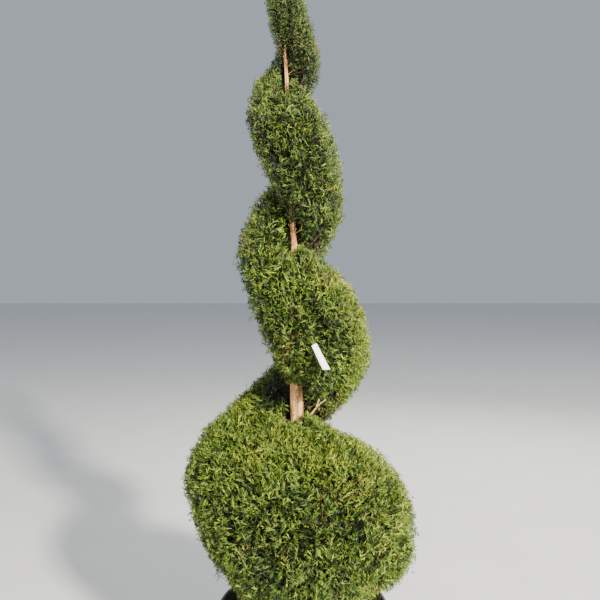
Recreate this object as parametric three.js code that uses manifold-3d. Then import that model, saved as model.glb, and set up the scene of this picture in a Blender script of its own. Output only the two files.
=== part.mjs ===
// A spiral topiary in its nursery pot: one scale-leaved evergreen on a single leaning trunk,
// clipped into a band that winds down the trunk from a narrow tip to a broad, rounded foot.
//
// Units are millimetres, Z is up. The origin is the middle of the flat underside of the pot,
// the front of the plant faces -Y and its right side faces +X.
//
// Places in the crown are given by turns, not degrees. Turn 0 is at the front of the uppermost
// turn, a quarter more is at the right, a half at the back, three quarters at the left, and the
// band sinks as the number grows. Between turn t and turn t + 1 lies one lobe of foliage, with a
// bare groove above it and one below it.

import * as THREE from 'three';
import { mergeVertices } from 'three/addons/utils/BufferGeometryUtils.js';
import Module from 'manifold-3d';

const wasm = await Module();
wasm.setup();

// Pot
const POT_HEIGHT = 440;
const POT_TOP_RADIUS = 290;
const POT_BASE_RADIUS = 250;
const POT_WALL = 4;
const POT_FLOOR = 5;
const RIM_HEIGHT = 35;
const RIM_LIP = 12;
const COLLAR_HEIGHT = 92;
const COLLAR_RADIUS = 278;
const BEAD = 3;
const FLUTE_COUNT = 24;
const FLUTE_DEPTH = 4;
const POT_FOOT_CORNER = 8;
const POT_HEEL = 2;
const POT_HEEL_HEIGHT = 24;
const POT_INNER_CORNER = 10;
const POT_INNER_SLOPE = 4;
const FLUTE_TOP_GAP = 8;
const FLUTE_TOP_SHARE = 0.85;
const RIM_CORNER = 6;
const FLUTED_ROWS = [3, 4];
const SOIL_TOP = 405;
const SOIL_EDGE_DROP = 10;
const SOIL_CLEARANCE = 1.6;

// Trunk: where its middle line and its radius are, from the cut at the soil to the tip
const TRUNK_STATIONS = [
  { z: 405, lean: 0, radius: 29 },
  { z: 1000, lean: -18, radius: 23 },
  { z: 1155, lean: -24, radius: 21 },
  { z: 1680, lean: -34, radius: 10 },
  { z: 2230, lean: -58, radius: 6.5 },
  { z: 2600, lean: -77, radius: 3 },
];
const TRUNK_SIDES = 10;
const TRUNK_RING_STEP = 130;
const FLARE = 13;
const FLARE_FADE = 48;
const FLARE_RIBS = 5;
const FLARE_RIB_DEPTH = 0.3;
const FLARE_RINGS = [18, 45, 90];

// Crown: the height of the groove each quarter turn, half its width each half turn, and the reach
// of the lobes each half turn. At the front of turns 1 to 3 the groove runs level for a stretch and
// opens upwards and downwards into a window, where the trunk shows. The shoulder of the lobe below
// dips on the left of it.
const GROOVE_HEIGHTS = [
  2720, 2600, 2450, 2310,
  2250, 2165, 2040, 1870,
  1695, 1635, 1380, 1195,
  1130, 1062, 860, 465,
  200,
];
const GROOVE_HALF_WIDTHS = [20, 20, 22, 22, 24, 26, 24, 24, 30];
const WINDOW_ABOVE = [50, 18, 41];
const WINDOW_BELOW = [43, 24, 14];
const WINDOW_SPREAD_LEFT = 0.1;
const WINDOW_SPREAD_RIGHT = 0.05;
const LEVEL_SPREAD_RIGHT = 0.15;
const LEVEL_SPREADS_LEFT = [0.15, 0.06, 0.15];
const SHOULDER_DIPS = [25, 5, 60];
const DIP_FROM_FRONT = -0.25;
const DIP_SPREAD = 0.18;
const LOBE_REACHES = [71, 113, 146, 167, 201, 245, 393, 368, 250];
const FIRST_REACH_TURN = -0.25;
const CROWN_TOP = 2630;
const CROWN_FOOT = 450;
const FOOT_RISE = 50;
const FOOT_RISE_TURN = 3.2;
const FOOT_RISE_SPREAD = 0.15;
const CROWN_SHIFT = 10;
const CROWN_SHIFT_FROM = 5;
const CROWN_SHIFT_OVER = 60;
const TIP_ROUNDING = 15;
const TIP_TAPER_HEIGHT = 300;
const TIP_TAPER_RADIUS = 105;
const TIP_TAPER_POWER = 0.6;
const TIP_DEPTH_SHARE = 0.6;

// The upright section of a lobe: where its belly is, higher at the left than at the right, and
// how it draws in below that. It is fullest a little right of the front, hollow under the front
// of the foot of the crown, and slim at the left of the two lowest turns.
const BELLY_LEFT = 0.33;
const BELLY_RIGHT = 0.56;
const LEAN_PROFILE = { power: 2.4, root: 0.7 };
const FULL_PROFILE = { power: 3.4, root: 0.47 };
const SLIM_PROFILES = [
  { turn: 1.75, power: 1.2, root: 1.1 },
  { turn: 2.25, power: 2.2, root: 0.7 },
  { turn: 2.75, power: 1.1, root: 0.4 },
];
const FULL_TURN = 0.15;
const LEAST_FULL = 0.3;
const LEAST_FULL_FROM = 2.5;
const HOLLOW_TURN = 3.05;
const HOLLOW_SPREAD = 0.1;
const SLIM_SPREAD = 0.21;

// Masses
const TIP_START = -0.6;
const LAST_END = 3.68;
const WIDEST_MARGIN = 0.5;
const SHELL_DEPTH = 20;
const SHELL_SHARE = 0.25;
const EDGE_DEPTH_SHARE = 0.2;
const CORE_OUTER_POINTS = 9;
const CORE_INNER_POINTS = 2;
const CORE_STEPS_PER_TURN = 18;

// Sprays, twigs and boughs
const FIRST_SEED = 100;
const SPRAY_SPACING = 118;
const SPRAY_SPACING_SMALL = 66;
const SMALL_REACH = 70;
const REACH_RANGE = 300;
const SPRAY_WIDTH = 0.9;
const SPRAY_THICKNESS = 5.5;
const SPRAY_SINK = 26;
const SPRAY_LIFT = 0.6;
const SPRAY_LIFT_BELOW = 0.1;
const UNDERSIDE = -0.3;
const SPRAY_WANDER = 0.6;
const SPRAY_ROLL = 1.6;
const SPRAY_STAGGER = 6;
const SPRAY_RIDGE_SHARE = 0.55;
const ROW_WANDER = 0.5;
const ROW_OFFSETS = [0.75, 0.25];
const STEP_WANDER = 0.1;
const LEAST_OUTWARD = 0.5;
const TWIG_TAPER = 0.5;
const SPRAY_OUTLINE = [[0, 0], [0.62, -0.5], [0.68, -0.15], [1, 0], [0.75, 0.42]];
const SITE_SAMPLES = 60;
const SITE_EDGE = 0.03;
const TWIG_EVERY = 10;
const TWIG_RADIUS = 3;
const TWIG_END_SHARE = 0.75;
const TWIG_SIDES = 3;
const BOUGH_SIDES = 5;
const BOUGH_BENDS = 3;
const BOUGH_SHARE = 0.16;
const BOUGH_RADIUS_TOP = 3.2;
const BOUGH_RADIUS_FOOT = 6.5;
const BOUGH_THICKEST_TURN = 3;
const BOUGH_TAPER = 0.65;
const BOUGH_SAG = 0.06;
const BOUGH_FOOT_RISE = 10;
const BOUGH_LEAST_RISE = 28;
const BOUGH_DROP = 8;
const SEARCH_STEP = 0.01;
const STEM_LENGTH = 70;
const STEM_TAPER = 0.7;
const TIP_STEM_HEIGHT = 0.35;
const TIP_STEM_REACH = 0.6;
const TIP_STEM_RISE = 30;
const TIP_STEM_RADIUS = 2;

const CONTACT_GAP = 0.3;
const CORE_TRUNK_GAP = 1.5;
const SECTOR_GAP = 1.5;
const EDGE_GAP = 3;
const SLIVER = 0.05;
const FULL_CIRCLE = 2 * Math.PI;
const QUARTER_TURN = 0.25;
const HALF_TURN = 0.5;
const NEARLY_UPRIGHT = 0.9;

// Small helpers

const lerp = THREE.MathUtils.lerp;
const clamp = THREE.MathUtils.clamp;

function seededRandom(seed) {
  let state = seed;
  return () => {
    state = (state + 0x6d2b79f5) | 0;
    let mixed = Math.imul(state ^ (state >>> 15), 1 | state);
    mixed = (mixed + Math.imul(mixed ^ (mixed >>> 7), 61 | mixed)) ^ mixed;
    return ((mixed ^ (mixed >>> 14)) >>> 0) / 4294967296;
  };
}

// A smooth curve through evenly spaced values, carried on in a straight line past its ends.
function curveThrough(values, first, step, at) {
  const place = (at - first) / step;
  const last = values.length - 1;
  if (place <= 0) {
    return values[0] + (values[1] - values[0]) * place;
  }
  if (place >= last) {
    return values[last] + (values[last] - values[last - 1]) * (place - last);
  }
  const i = Math.floor(place);
  const u = place - i;
  const before = values[Math.max(i - 1, 0)];
  const after = values[Math.min(i + 2, last)];
  const slopeIn = (values[i + 1] - before) / 2;
  const slopeOut = (after - values[i]) / 2;
  const rise = values[i + 1] - values[i];
  const square = u * u;
  const cube = square * u;
  return values[i] + slopeIn * u + (3 * rise - 2 * slopeIn - slopeOut) * square
    + (slopeIn + slopeOut - 2 * rise) * cube;
}

function station(z, key) {
  const next = TRUNK_STATIONS.findIndex((s) => s.z >= z);
  if (next === 0) {
    return TRUNK_STATIONS[0][key];
  }
  const b = next < 0 ? TRUNK_STATIONS.length - 1 : next;
  const low = TRUNK_STATIONS[b - 1];
  const high = TRUNK_STATIONS[b];
  return lerp(low[key], high[key], (z - low.z) / (high.z - low.z));
}

// One at the middle, and falling to nothing on both sides.
function hump(at, middle, spread) {
  return Math.exp(-(((at - middle) / spread) ** 2));
}

// Like a hump, with a flat top and steeper sides.
function plateau(from, spread) {
  return Math.exp(-((from / spread) ** 4));
}

// Closed skins over loops of points, with a fan over each end

function skin(loops) {
  const count = loops[0].length;
  const positions = loops.flat().flatMap((p) => [p.x, p.y, p.z]);
  const middle = (loop) => loop.reduce((sum, p) => sum.add(p), new THREE.Vector3()).divideScalar(count);
  const startMiddle = middle(loops[0]);
  const endMiddle = middle(loops.at(-1));
  positions.push(startMiddle.x, startMiddle.y, startMiddle.z, endMiddle.x, endMiddle.y, endMiddle.z);
  const start = loops.length * count;
  const lastLoop = (loops.length - 1) * count;
  const faces = [];
  for (let j = 0; j < count; j++) {
    const k = (j + 1) % count;
    for (let i = 0; i < loops.length - 1; i++) {
      const a = i * count;
      const b = a + count;
      faces.push(a + j, a + k, b + k, a + j, b + k, b + j);
    }
    faces.push(start, k, j, start + 1, lastLoop + j, lastLoop + k);
  }
  const geometry = new THREE.BufferGeometry();
  geometry.setAttribute('position', new THREE.Float32BufferAttribute(positions, 3));
  geometry.setIndex(faces);
  return geometry;
}

function solid(geometry) {
  const bare = geometry.clone();
  bare.deleteAttribute('normal');
  bare.deleteAttribute('uv');
  const merged = mergeVertices(bare, 1e-3);
  const mesh = new wasm.Mesh({
    numProp: 3,
    vertProperties: new Float32Array(merged.attributes.position.array),
    triVerts: new Uint32Array(merged.index.array),
  });
  const made = new wasm.Manifold(mesh);
  if (made.volume() < 0) {
    throw new Error('a solid is inside out');
  }
  return made;
}

// The largest connected piece: a sealed hollow is filled and a loose scrap is dropped.
function mainPiece(made) {
  const pieces = made.decompose();
  return pieces.reduce((best, piece) => (piece.volume() > best.volume() ? piece : best));
}

function geometryOf(made) {
  const mesh = made.getMesh();
  const geometry = new THREE.BufferGeometry();
  geometry.setAttribute('position', new THREE.Float32BufferAttribute(mesh.vertProperties, 3));
  geometry.setIndex(Array.from(mesh.triVerts));
  return geometry;
}

// A tapering limb round the straight or bent line through the given points.
function limb(points, radii, sides) {
  const axis = new THREE.Vector3().subVectors(points.at(-1), points[0]).normalize();
  const helper = Math.abs(axis.z) > NEARLY_UPRIGHT ? new THREE.Vector3(1, 0, 0) : new THREE.Vector3(0, 0, 1);
  const across = new THREE.Vector3().crossVectors(helper, axis).normalize();
  const along = new THREE.Vector3().crossVectors(axis, across);
  const loops = points.map((point, i) => {
    const loop = [];
    for (let j = 0; j < sides; j++) {
      const angle = (j / sides) * FULL_CIRCLE;
      loop.push(point.clone()
        .addScaledVector(across, radii[i] * Math.cos(angle))
        .addScaledVector(along, radii[i] * Math.sin(angle)));
    }
    return loop;
  });
  return skin(loops);
}

// Pot

function potOutline() {
  const rimFoot = POT_HEIGHT - RIM_HEIGHT;
  const collarFoot = rimFoot - COLLAR_HEIGHT;
  const fluteTop = collarFoot - FLUTE_TOP_GAP;
  const fluteTopRadius = lerp(POT_BASE_RADIUS, COLLAR_RADIUS, FLUTE_TOP_SHARE);
  const outside = [
    [0, 0],
    [POT_BASE_RADIUS - POT_FOOT_CORNER, 0],
    [POT_BASE_RADIUS, POT_FOOT_CORNER],
    [POT_BASE_RADIUS + POT_HEEL, POT_HEEL_HEIGHT],
    [fluteTopRadius, fluteTop],
    [COLLAR_RADIUS - 2, collarFoot],
    [COLLAR_RADIUS, rimFoot - 2 * BEAD],
    [COLLAR_RADIUS + BEAD, rimFoot - BEAD],
    [COLLAR_RADIUS + 1, rimFoot],
    [POT_TOP_RADIUS, rimFoot + RIM_CORNER],
    [POT_TOP_RADIUS, POT_HEIGHT - RIM_CORNER],
    [POT_TOP_RADIUS - RIM_CORNER, POT_HEIGHT],
    [POT_TOP_RADIUS - RIM_LIP, POT_HEIGHT - 1],
  ];
  const inside = [
    [COLLAR_RADIUS - POT_WALL, rimFoot],
    [POT_BASE_RADIUS - POT_WALL - POT_INNER_SLOPE, POT_FLOOR + POT_INNER_CORNER],
    [POT_BASE_RADIUS - POT_WALL - POT_INNER_SLOPE - POT_INNER_CORNER, POT_FLOOR],
    [0, POT_FLOOR],
  ];
  return [...outside, ...inside];
}

// Wide upright flutes run round the lower wall: every other corner is drawn in a little.
function potGeometry() {
  const outline = potOutline().map(([radius, z]) => new THREE.Vector2(radius, z));
  const facets = 2 * FLUTE_COUNT;
  const geometry = new THREE.LatheGeometry(outline, facets);
  const position = geometry.attributes.position;
  for (let i = 0; i < position.count; i++) {
    const row = i % outline.length;
    const column = Math.floor(i / outline.length);
    if (FLUTED_ROWS.includes(row) && column % 2 === 1) {
      const scale = 1 - FLUTE_DEPTH / outline[row].x;
      position.setX(i, position.getX(i) * scale);
      position.setZ(i, position.getZ(i) * scale);
    }
  }
  geometry.rotateX(Math.PI / 2);
  return geometry;
}

function soilGeometry() {
  const clear = POT_WALL + SOIL_CLEARANCE;
  const rimFoot = POT_HEIGHT - RIM_HEIGHT;
  const cornerTop = POT_FLOOR + POT_INNER_CORNER;
  const slope = (COLLAR_RADIUS - POT_BASE_RADIUS + POT_INNER_SLOPE) / (rimFoot - cornerTop);
  const edgeTop = SOIL_TOP - SOIL_EDGE_DROP;
  const footRadius = POT_BASE_RADIUS - clear - POT_INNER_SLOPE;
  const outline = [
    [0, POT_FLOOR + CONTACT_GAP],
    [footRadius - POT_INNER_CORNER, POT_FLOOR + CONTACT_GAP],
    [footRadius, cornerTop],
    [footRadius + slope * (edgeTop - cornerTop), edgeTop],
    [COLLAR_RADIUS / 2, SOIL_TOP],
    [0, SOIL_TOP],
  ].map(([radius, z]) => new THREE.Vector2(radius, z));
  const geometry = new THREE.LatheGeometry(outline, FLUTE_COUNT);
  geometry.rotateX(Math.PI / 2);
  return geometry;
}

// Trunk

function flare(z) {
  return FLARE * Math.exp(-(z - SOIL_TOP) / FLARE_FADE);
}

function trunkRadius(z) {
  return station(z, 'radius') + flare(z);
}

function trunkLoop(z, extra) {
  const loop = [];
  const lean = station(z, 'lean');
  for (let j = 0; j < TRUNK_SIDES; j++) {
    const angle = (j / TRUNK_SIDES) * FULL_CIRCLE;
    const rib = FLARE_RIB_DEPTH * flare(z) * Math.cos(FLARE_RIBS * angle);
    const radius = trunkRadius(z) + rib + extra;
    loop.push(new THREE.Vector3(lean + radius * Math.cos(angle), radius * Math.sin(angle), z));
  }
  return loop;
}

function trunkSolid(extra, foot) {
  const tip = TRUNK_STATIONS.at(-1).z + extra;
  const flareHeights = [foot, ...FLARE_RINGS.map((height) => SOIL_TOP + height)];
  const first = SOIL_TOP + 2 * TRUNK_RING_STEP;
  const count = Math.round((tip - first) / TRUNK_RING_STEP);
  const heights = [...flareHeights];
  for (let i = 0; i <= count; i++) {
    heights.push(lerp(first, tip, i / count));
  }
  return solid(skin(heights.map((z) => trunkLoop(z, extra))));
}

const trunk = trunkSolid(0, SOIL_TOP + CONTACT_GAP);
const trunkClearance = trunkSolid(CONTACT_GAP, SOIL_TOP - CONTACT_GAP);

// Shape of the crown

function atNearestFront(values, turn) {
  return values[clamp(Math.round(turn) - 1, 0, values.length - 1)];
}

function grooveHeight(turn) {
  const fromFront = turn - Math.round(turn);
  const left = atNearestFront(LEVEL_SPREADS_LEFT, turn);
  const levelTurn = turn - fromFront * plateau(fromFront, fromFront < 0 ? left : LEVEL_SPREAD_RIGHT);
  return curveThrough(GROOVE_HEIGHTS, 0, QUARTER_TURN, levelTurn);
}

function shoulderDip(turn) {
  const fromDip = turn - Math.round(turn) - DIP_FROM_FRONT;
  return atNearestFront(SHOULDER_DIPS, turn) * plateau(fromDip, DIP_SPREAD);
}

function grooveHalfWidth(turn, widenings) {
  const fromFront = turn - Math.round(turn);
  const spread = fromFront < 0 ? WINDOW_SPREAD_LEFT : WINDOW_SPREAD_RIGHT;
  const window = atNearestFront(widenings, turn) * plateau(fromFront, spread);
  const last = (GROOVE_HALF_WIDTHS.length - 1) / 2;
  return window + curveThrough(GROOVE_HALF_WIDTHS, 0, HALF_TURN, clamp(turn, 0, last));
}

function lobe(turn) {
  const edge = grooveHeight(turn) - grooveHalfWidth(turn, WINDOW_BELOW) - shoulderDip(turn);
  const top = Math.min(edge, CROWN_TOP);
  const foot = CROWN_FOOT + FOOT_RISE * hump(turn, FOOT_RISE_TURN, FOOT_RISE_SPREAD);
  const grooveBelow = grooveHeight(turn + 1) + grooveHalfWidth(turn + 1, WINDOW_ABOVE);
  const bottom = Math.max(grooveBelow, foot);
  const reach = curveThrough(LOBE_REACHES, FIRST_REACH_TURN, HALF_TURN, turn);
  return { top, bottom, reach };
}

// 1 at 0 and at whole turns, 0 half a turn away
function wave(turn) {
  return 0.5 + 0.5 * Math.cos(FULL_CIRCLE * turn);
}

function fullness(turn) {
  const side = wave(turn - FULL_TURN);
  const least = turn > LEAST_FULL_FROM ? LEAST_FULL : 0;
  return Math.max(side, least) * (1 - hump(turn, HOLLOW_TURN, HOLLOW_SPREAD));
}

function belly(turn) {
  return lerp(BELLY_LEFT, BELLY_RIGHT, wave(turn - QUARTER_TURN));
}

function profile(turn, key) {
  const usual = lerp(LEAN_PROFILE[key], FULL_PROFILE[key], fullness(turn));
  const slimmed = (value, slim) => lerp(value, slim[key], hump(turn, slim.turn, SLIM_SPREAD));
  return SLIM_PROFILES.reduce(slimmed, usual);
}

// How far a lobe stands out at a share u of the way down: full at its belly, and none at its
// upper and lower edge.
function swell(turn, u) {
  if (u <= 0 || u >= 1) {
    return 0;
  }
  const middle = belly(turn);
  if (u < middle) {
    return Math.sqrt(1 - (1 - u / middle) ** 2);
  }
  const below = (u - middle) / (1 - middle);
  return (1 - below ** profile(turn, 'power')) ** profile(turn, 'root');
}

// The crown narrows to its tip.
function tipLimit(z) {
  const below = Math.max(CROWN_TOP + TIP_ROUNDING - z, 0);
  if (below > 2 * TIP_TAPER_HEIGHT) {
    return Infinity;
  }
  return TIP_TAPER_RADIUS * (below / TIP_TAPER_HEIGHT) ** TIP_TAPER_POWER;
}

function trunkLean(z) {
  return station(Math.min(z, TRUNK_STATIONS.at(-1).z), 'lean');
}

// The point at a turn, a distance from the middle of the trunk and a height. The crown stands a
// little further out on its right side.
function place(turn, radius, z) {
  const angle = (turn - QUARTER_TURN) * FULL_CIRCLE;
  const share = clamp((radius - trunkRadius(z) - CROWN_SHIFT_FROM) / CROWN_SHIFT_OVER, 0, 1);
  const out = radius + CROWN_SHIFT * share * Math.cos(angle);
  return new THREE.Vector3(trunkLean(z) + out * Math.cos(angle), out * Math.sin(angle), z);
}

function shellDepth(turn) {
  const { top, reach } = lobe(turn);
  return Math.min(SHELL_DEPTH, SHELL_SHARE * (reach - trunkRadius(top)));
}

// A point of the lobe's skin, drawn in by the given depth.
function skinPoint(turn, u, depth) {
  const { top, bottom, reach } = lobe(turn);
  const inset = EDGE_DEPTH_SHARE * depth;
  const z = lerp(top - inset, bottom + inset, u);
  const inner = trunkRadius(z) + CORE_TRUNK_GAP;
  const swollen = inner + Math.max(reach - depth - inner, 0) * swell(turn, u);
  return { radius: Math.max(Math.min(swollen, tipLimit(z) - depth * TIP_DEPTH_SHARE), inner), z };
}

// Masses of foliage: thirds of a turn, named from the top turn down

const THIRD_TURN = 1 / 3;
const MASSES = [{ name: 'foliage_tip', start: TIP_START, end: -THIRD_TURN / 2 }];
const THIRDS = ['front', 'right', 'left'];
for (let turn = 1; turn <= 4; turn++) {
  THIRDS.forEach((third, i) => {
    const start = turn - 1 + (i - 0.5) * THIRD_TURN;
    MASSES.push({ name: `foliage_${turn}_${third}`, start, end: start + THIRD_TURN });
  });
}
MASSES.at(-1).end = LAST_END;

// Keeps a place clear of the upright planes that part a mass from its neighbours.
function keepInside(mass, turn, radius) {
  const margin = Math.asin(Math.min(SECTOR_GAP / radius, WIDEST_MARGIN)) / FULL_CIRCLE;
  return clamp(turn, mass.start + margin, mass.end - margin);
}

function coreLoop(mass, turn) {
  const depth = shellDepth(turn);
  const loop = [];
  for (let j = 0; j <= CORE_OUTER_POINTS; j++) {
    const u = (1 - Math.cos((j / CORE_OUTER_POINTS) * Math.PI)) / 2;
    const { radius, z } = skinPoint(turn, u, depth);
    loop.push(place(keepInside(mass, turn, radius), radius, z));
  }
  const { z: top } = skinPoint(turn, 0, depth);
  const { z: bottom } = skinPoint(turn, 1, depth);
  for (let j = 1; j <= CORE_INNER_POINTS; j++) {
    const z = lerp(bottom, top, j / (CORE_INNER_POINTS + 1));
    const radius = trunkRadius(z) + CORE_TRUNK_GAP;
    loop.push(place(keepInside(mass, turn, radius), radius, z));
  }
  return loop;
}

function coreSolid(mass) {
  const steps = Math.ceil((mass.end - mass.start) * CORE_STEPS_PER_TURN);
  const loops = [];
  for (let i = 0; i <= steps; i++) {
    loops.push(coreLoop(mass, lerp(mass.start, mass.end, i / steps)));
  }
  return solid(skin(loops));
}

// Boughs: one under each mass, from the bare trunk in the groove up to where it enters the mass

function boughLine(mass) {
  const turn = (mass.start + mass.end) / 2;
  const footZ = Math.max(grooveHeight(turn + 1) + BOUGH_FOOT_RISE, SOIL_TOP + BOUGH_LEAST_RISE);
  const depth = shellDepth(turn);
  const { bottom, reach } = lobe(turn);
  const foot = new THREE.Vector3(station(footZ, 'lean'), 0, footZ);
  const entryRadius = lerp(trunkRadius(bottom), reach, BOUGH_SHARE);
  let u = 1;
  while (u > belly(turn) && skinPoint(turn, u, depth).radius < entryRadius) {
    u -= SEARCH_STEP;
  }
  const entry = skinPoint(turn, u, depth);
  const tip = place(turn, entry.radius, entry.z - BOUGH_DROP);
  return { foot, tip };
}

function boughRadius(mass) {
  const turn = (mass.start + mass.end) / 2;
  return lerp(BOUGH_RADIUS_TOP, BOUGH_RADIUS_FOOT, clamp(turn / BOUGH_THICKEST_TURN, 0, 1));
}

function boughPoints({ foot, tip }) {
  const points = [];
  const length = foot.distanceTo(tip);
  for (let i = 0; i <= BOUGH_BENDS; i++) {
    const share = i / BOUGH_BENDS;
    const point = foot.clone().lerp(tip, share);
    point.z -= BOUGH_SAG * length * Math.sin(share * Math.PI);
    points.push(point);
  }
  return points;
}

function boughSolid(mass, extra) {
  const points = boughPoints(boughLine(mass));
  const radius = boughRadius(mass);
  const radii = points.map((_, i) => lerp(radius, BOUGH_TAPER * radius, i / BOUGH_BENDS) + extra);
  return solid(limb(points, radii, BOUGH_SIDES));
}

const boughMasses = MASSES.slice(1);
const boughClearance = wasm.Manifold.union(boughMasses.map((mass) => boughSolid(mass, CONTACT_GAP)));

function nearSegment(point, start, end) {
  const line = new THREE.Line3(start, end);
  const nearest = line.closestPointToPoint(point, true, new THREE.Vector3());
  return nearest.distanceTo(point);
}

function clearOfBoughs(point) {
  return boughMasses.every((mass) => {
    const { foot, tip } = boughLine(mass);
    return nearSegment(point, foot, tip) > boughRadius(mass) + 2 * EDGE_GAP;
  });
}

// The stem carries on from the tip of the bough into the heart of the mass.
function stemLine(mass) {
  if (!boughMasses.includes(mass)) {
    const turn = (mass.start + mass.end) / 2;
    const { top, bottom, reach } = lobe(turn);
    const z = lerp(bottom, top, TIP_STEM_HEIGHT);
    const foot = place(turn, trunkRadius(z) + CONTACT_GAP, z);
    return { foot, tip: place(turn, TIP_STEM_REACH * reach, z + TIP_STEM_RISE) };
  }
  const points = boughPoints(boughLine(mass));
  const ahead = new THREE.Vector3().subVectors(points.at(-1), points.at(-2)).normalize();
  const foot = points.at(-1).clone().addScaledVector(ahead, CONTACT_GAP);
  return { foot, tip: foot.clone().addScaledVector(ahead, STEM_LENGTH) };
}

// Sprays and twigs

function turnOf(mass, point) {
  const angle = Math.atan2(point.y, point.x - trunkLean(point.z));
  const middle = (mass.start + mass.end) / 2;
  const turn = angle / FULL_CIRCLE + QUARTER_TURN;
  return turn + Math.round(middle - turn);
}

function withinSpace(mass, point) {
  const radius = Math.hypot(point.x - trunkLean(point.z), point.y);
  const turn = turnOf(mass, point);
  const fromStart = radius * Math.sin(Math.min((turn - mass.start) * FULL_CIRCLE, Math.PI / 2));
  const fromEnd = radius * Math.sin(Math.min((mass.end - turn) * FULL_CIRCLE, Math.PI / 2));
  if (Math.min(fromStart, fromEnd) < SECTOR_GAP) {
    return false;
  }
  if (radius < trunkRadius(Math.min(point.z, TRUNK_STATIONS.at(-1).z)) + EDGE_GAP) {
    return false;
  }
  if (point.z > grooveHeight(turn) - EDGE_GAP || point.z < grooveHeight(turn + 1) + EDGE_GAP) {
    return false;
  }
  if (point.z < POT_HEIGHT + EDGE_GAP) {
    return false;
  }
  return clearOfBoughs(point);
}

// A spray is a flat toothed blade with a raised middle: its root, a broad tooth on one side, a
// notch, its tip, and a tooth higher up on the other side.
function sprayCorners(root, ahead, across, length) {
  const width = SPRAY_WIDTH * length;
  return SPRAY_OUTLINE.map(([share, side]) => root.clone()
    .addScaledVector(ahead, share * length)
    .addScaledVector(across, side * width));
}

function spraySolid(corners, ridge, normal) {
  const apexes = [1, -1].map((side) => ridge.clone().addScaledVector(normal, side * SPRAY_THICKNESS / 2));
  const positions = [...corners, ...apexes].flatMap((p) => [p.x, p.y, p.z]);
  const faces = [];
  corners.forEach((_, i) => {
    const next = (i + 1) % corners.length;
    faces.push(i, next, corners.length, next, i, corners.length + 1);
  });
  const geometry = new THREE.BufferGeometry();
  geometry.setAttribute('position', new THREE.Float32BufferAttribute(positions, 3));
  geometry.setIndex(faces);
  return solid(geometry);
}

// Even sites over the skin of a mass, row by row round the trunk and step by step down the lobe.
function spraySites(mass, random) {
  const { reach } = lobe((mass.start + mass.end) / 2);
  const spacing = lerp(SPRAY_SPACING_SMALL, SPRAY_SPACING, clamp((reach - SMALL_REACH) / REACH_RANGE, 0, 1));
  const rows = Math.max(2, Math.round(((mass.end - mass.start) * FULL_CIRCLE * reach) / spacing));
  const sites = [];
  for (let row = 0; row < rows; row++) {
    const middle = row + 0.5 + ROW_WANDER * (random() - 0.5);
    const turn = lerp(mass.start, mass.end, middle / rows);
    let walked = spacing * ROW_OFFSETS[row % 2];
    let last = skinPoint(turn, 0, 0);
    for (let s = 1; s <= SITE_SAMPLES; s++) {
      const u = s / SITE_SAMPLES;
      const next = skinPoint(turn, u, 0);
      walked += Math.hypot(next.radius - last.radius, next.z - last.z);
      last = next;
      if (walked >= spacing) {
        walked -= spacing * lerp(1 - STEP_WANDER, 1 + STEP_WANDER, random());
        sites.push({ turn, u: clamp(u, SITE_EDGE, 1 - SITE_EDGE) });
      }
    }
  }
  return sites;
}

function skinNormal(turn, u) {
  const at = (t, v) => {
    const { radius, z } = skinPoint(t, v, 0);
    return place(t, radius, z);
  };
  const down = at(turn, clamp(u + SEARCH_STEP, 0, 1)).sub(at(turn, clamp(u - SEARCH_STEP, 0, 1)));
  const round = at(turn + SEARCH_STEP, u).sub(at(turn - SEARCH_STEP, u));
  return down.cross(round).normalize();
}

function sprayAt(site, random) {
  const { radius, z } = skinPoint(site.turn, site.u, 0);
  const normal = skinNormal(site.turn, site.u);
  const wander = new THREE.Vector3(random() - 0.5, random() - 0.5, random() - 0.5);
  const ahead = normal.clone().addScaledVector(wander, SPRAY_WANDER);
  ahead.z += normal.z < UNDERSIDE ? SPRAY_LIFT_BELOW : SPRAY_LIFT;
  ahead.normalize();
  const stagger = lerp(-SPRAY_STAGGER, SPRAY_STAGGER, random());
  const tip = place(site.turn, radius, z).addScaledVector(normal, stagger);
  const length = (shellDepth(site.turn) + SPRAY_SINK) / Math.max(ahead.dot(normal), LEAST_OUTWARD);
  const root = tip.clone().addScaledVector(ahead, -length);
  const facing = normal.clone().addScaledVector(wander, SPRAY_ROLL);
  const across = new THREE.Vector3().crossVectors(ahead, facing).normalize();
  const flat = new THREE.Vector3().crossVectors(ahead, across);
  return { root, tip, ahead, across, flat, length };
}

function massSolid(mass, index) {
  const random = seededRandom(FIRST_SEED + index);
  const stem = stemLine(mass);
  const stemRadius = boughMasses.includes(mass) ? BOUGH_TAPER * boughRadius(mass) : TIP_STEM_RADIUS;
  const pieces = [
    coreSolid(mass),
    solid(limb([stem.foot, stem.tip], [stemRadius, STEM_TAPER * stemRadius], BOUGH_SIDES)),
  ];
  spraySites(mass, random).forEach((site, number) => {
    const spray = sprayAt(site, random);
    const corners = sprayCorners(spray.root, spray.ahead, spray.across, spray.length);
    if (corners.every((corner) => withinSpace(mass, corner))) {
      const ridge = spray.root.clone().lerp(spray.tip, SPRAY_RIDGE_SHARE);
      pieces.push(spraySolid(corners, ridge, spray.flat));
      if (number % TWIG_EVERY === 0) {
        const end = spray.root.clone().lerp(spray.tip, TWIG_END_SHARE);
        pieces.push(solid(limb([stem.tip, end], [TWIG_RADIUS, TWIG_TAPER * TWIG_RADIUS], TWIG_SIDES)));
      }
    }
  });
  const made = wasm.Manifold.union(pieces).subtract(trunkClearance).subtract(boughClearance);
  return mainPiece(made.simplify(SLIVER));
}

// The finished plant

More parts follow.
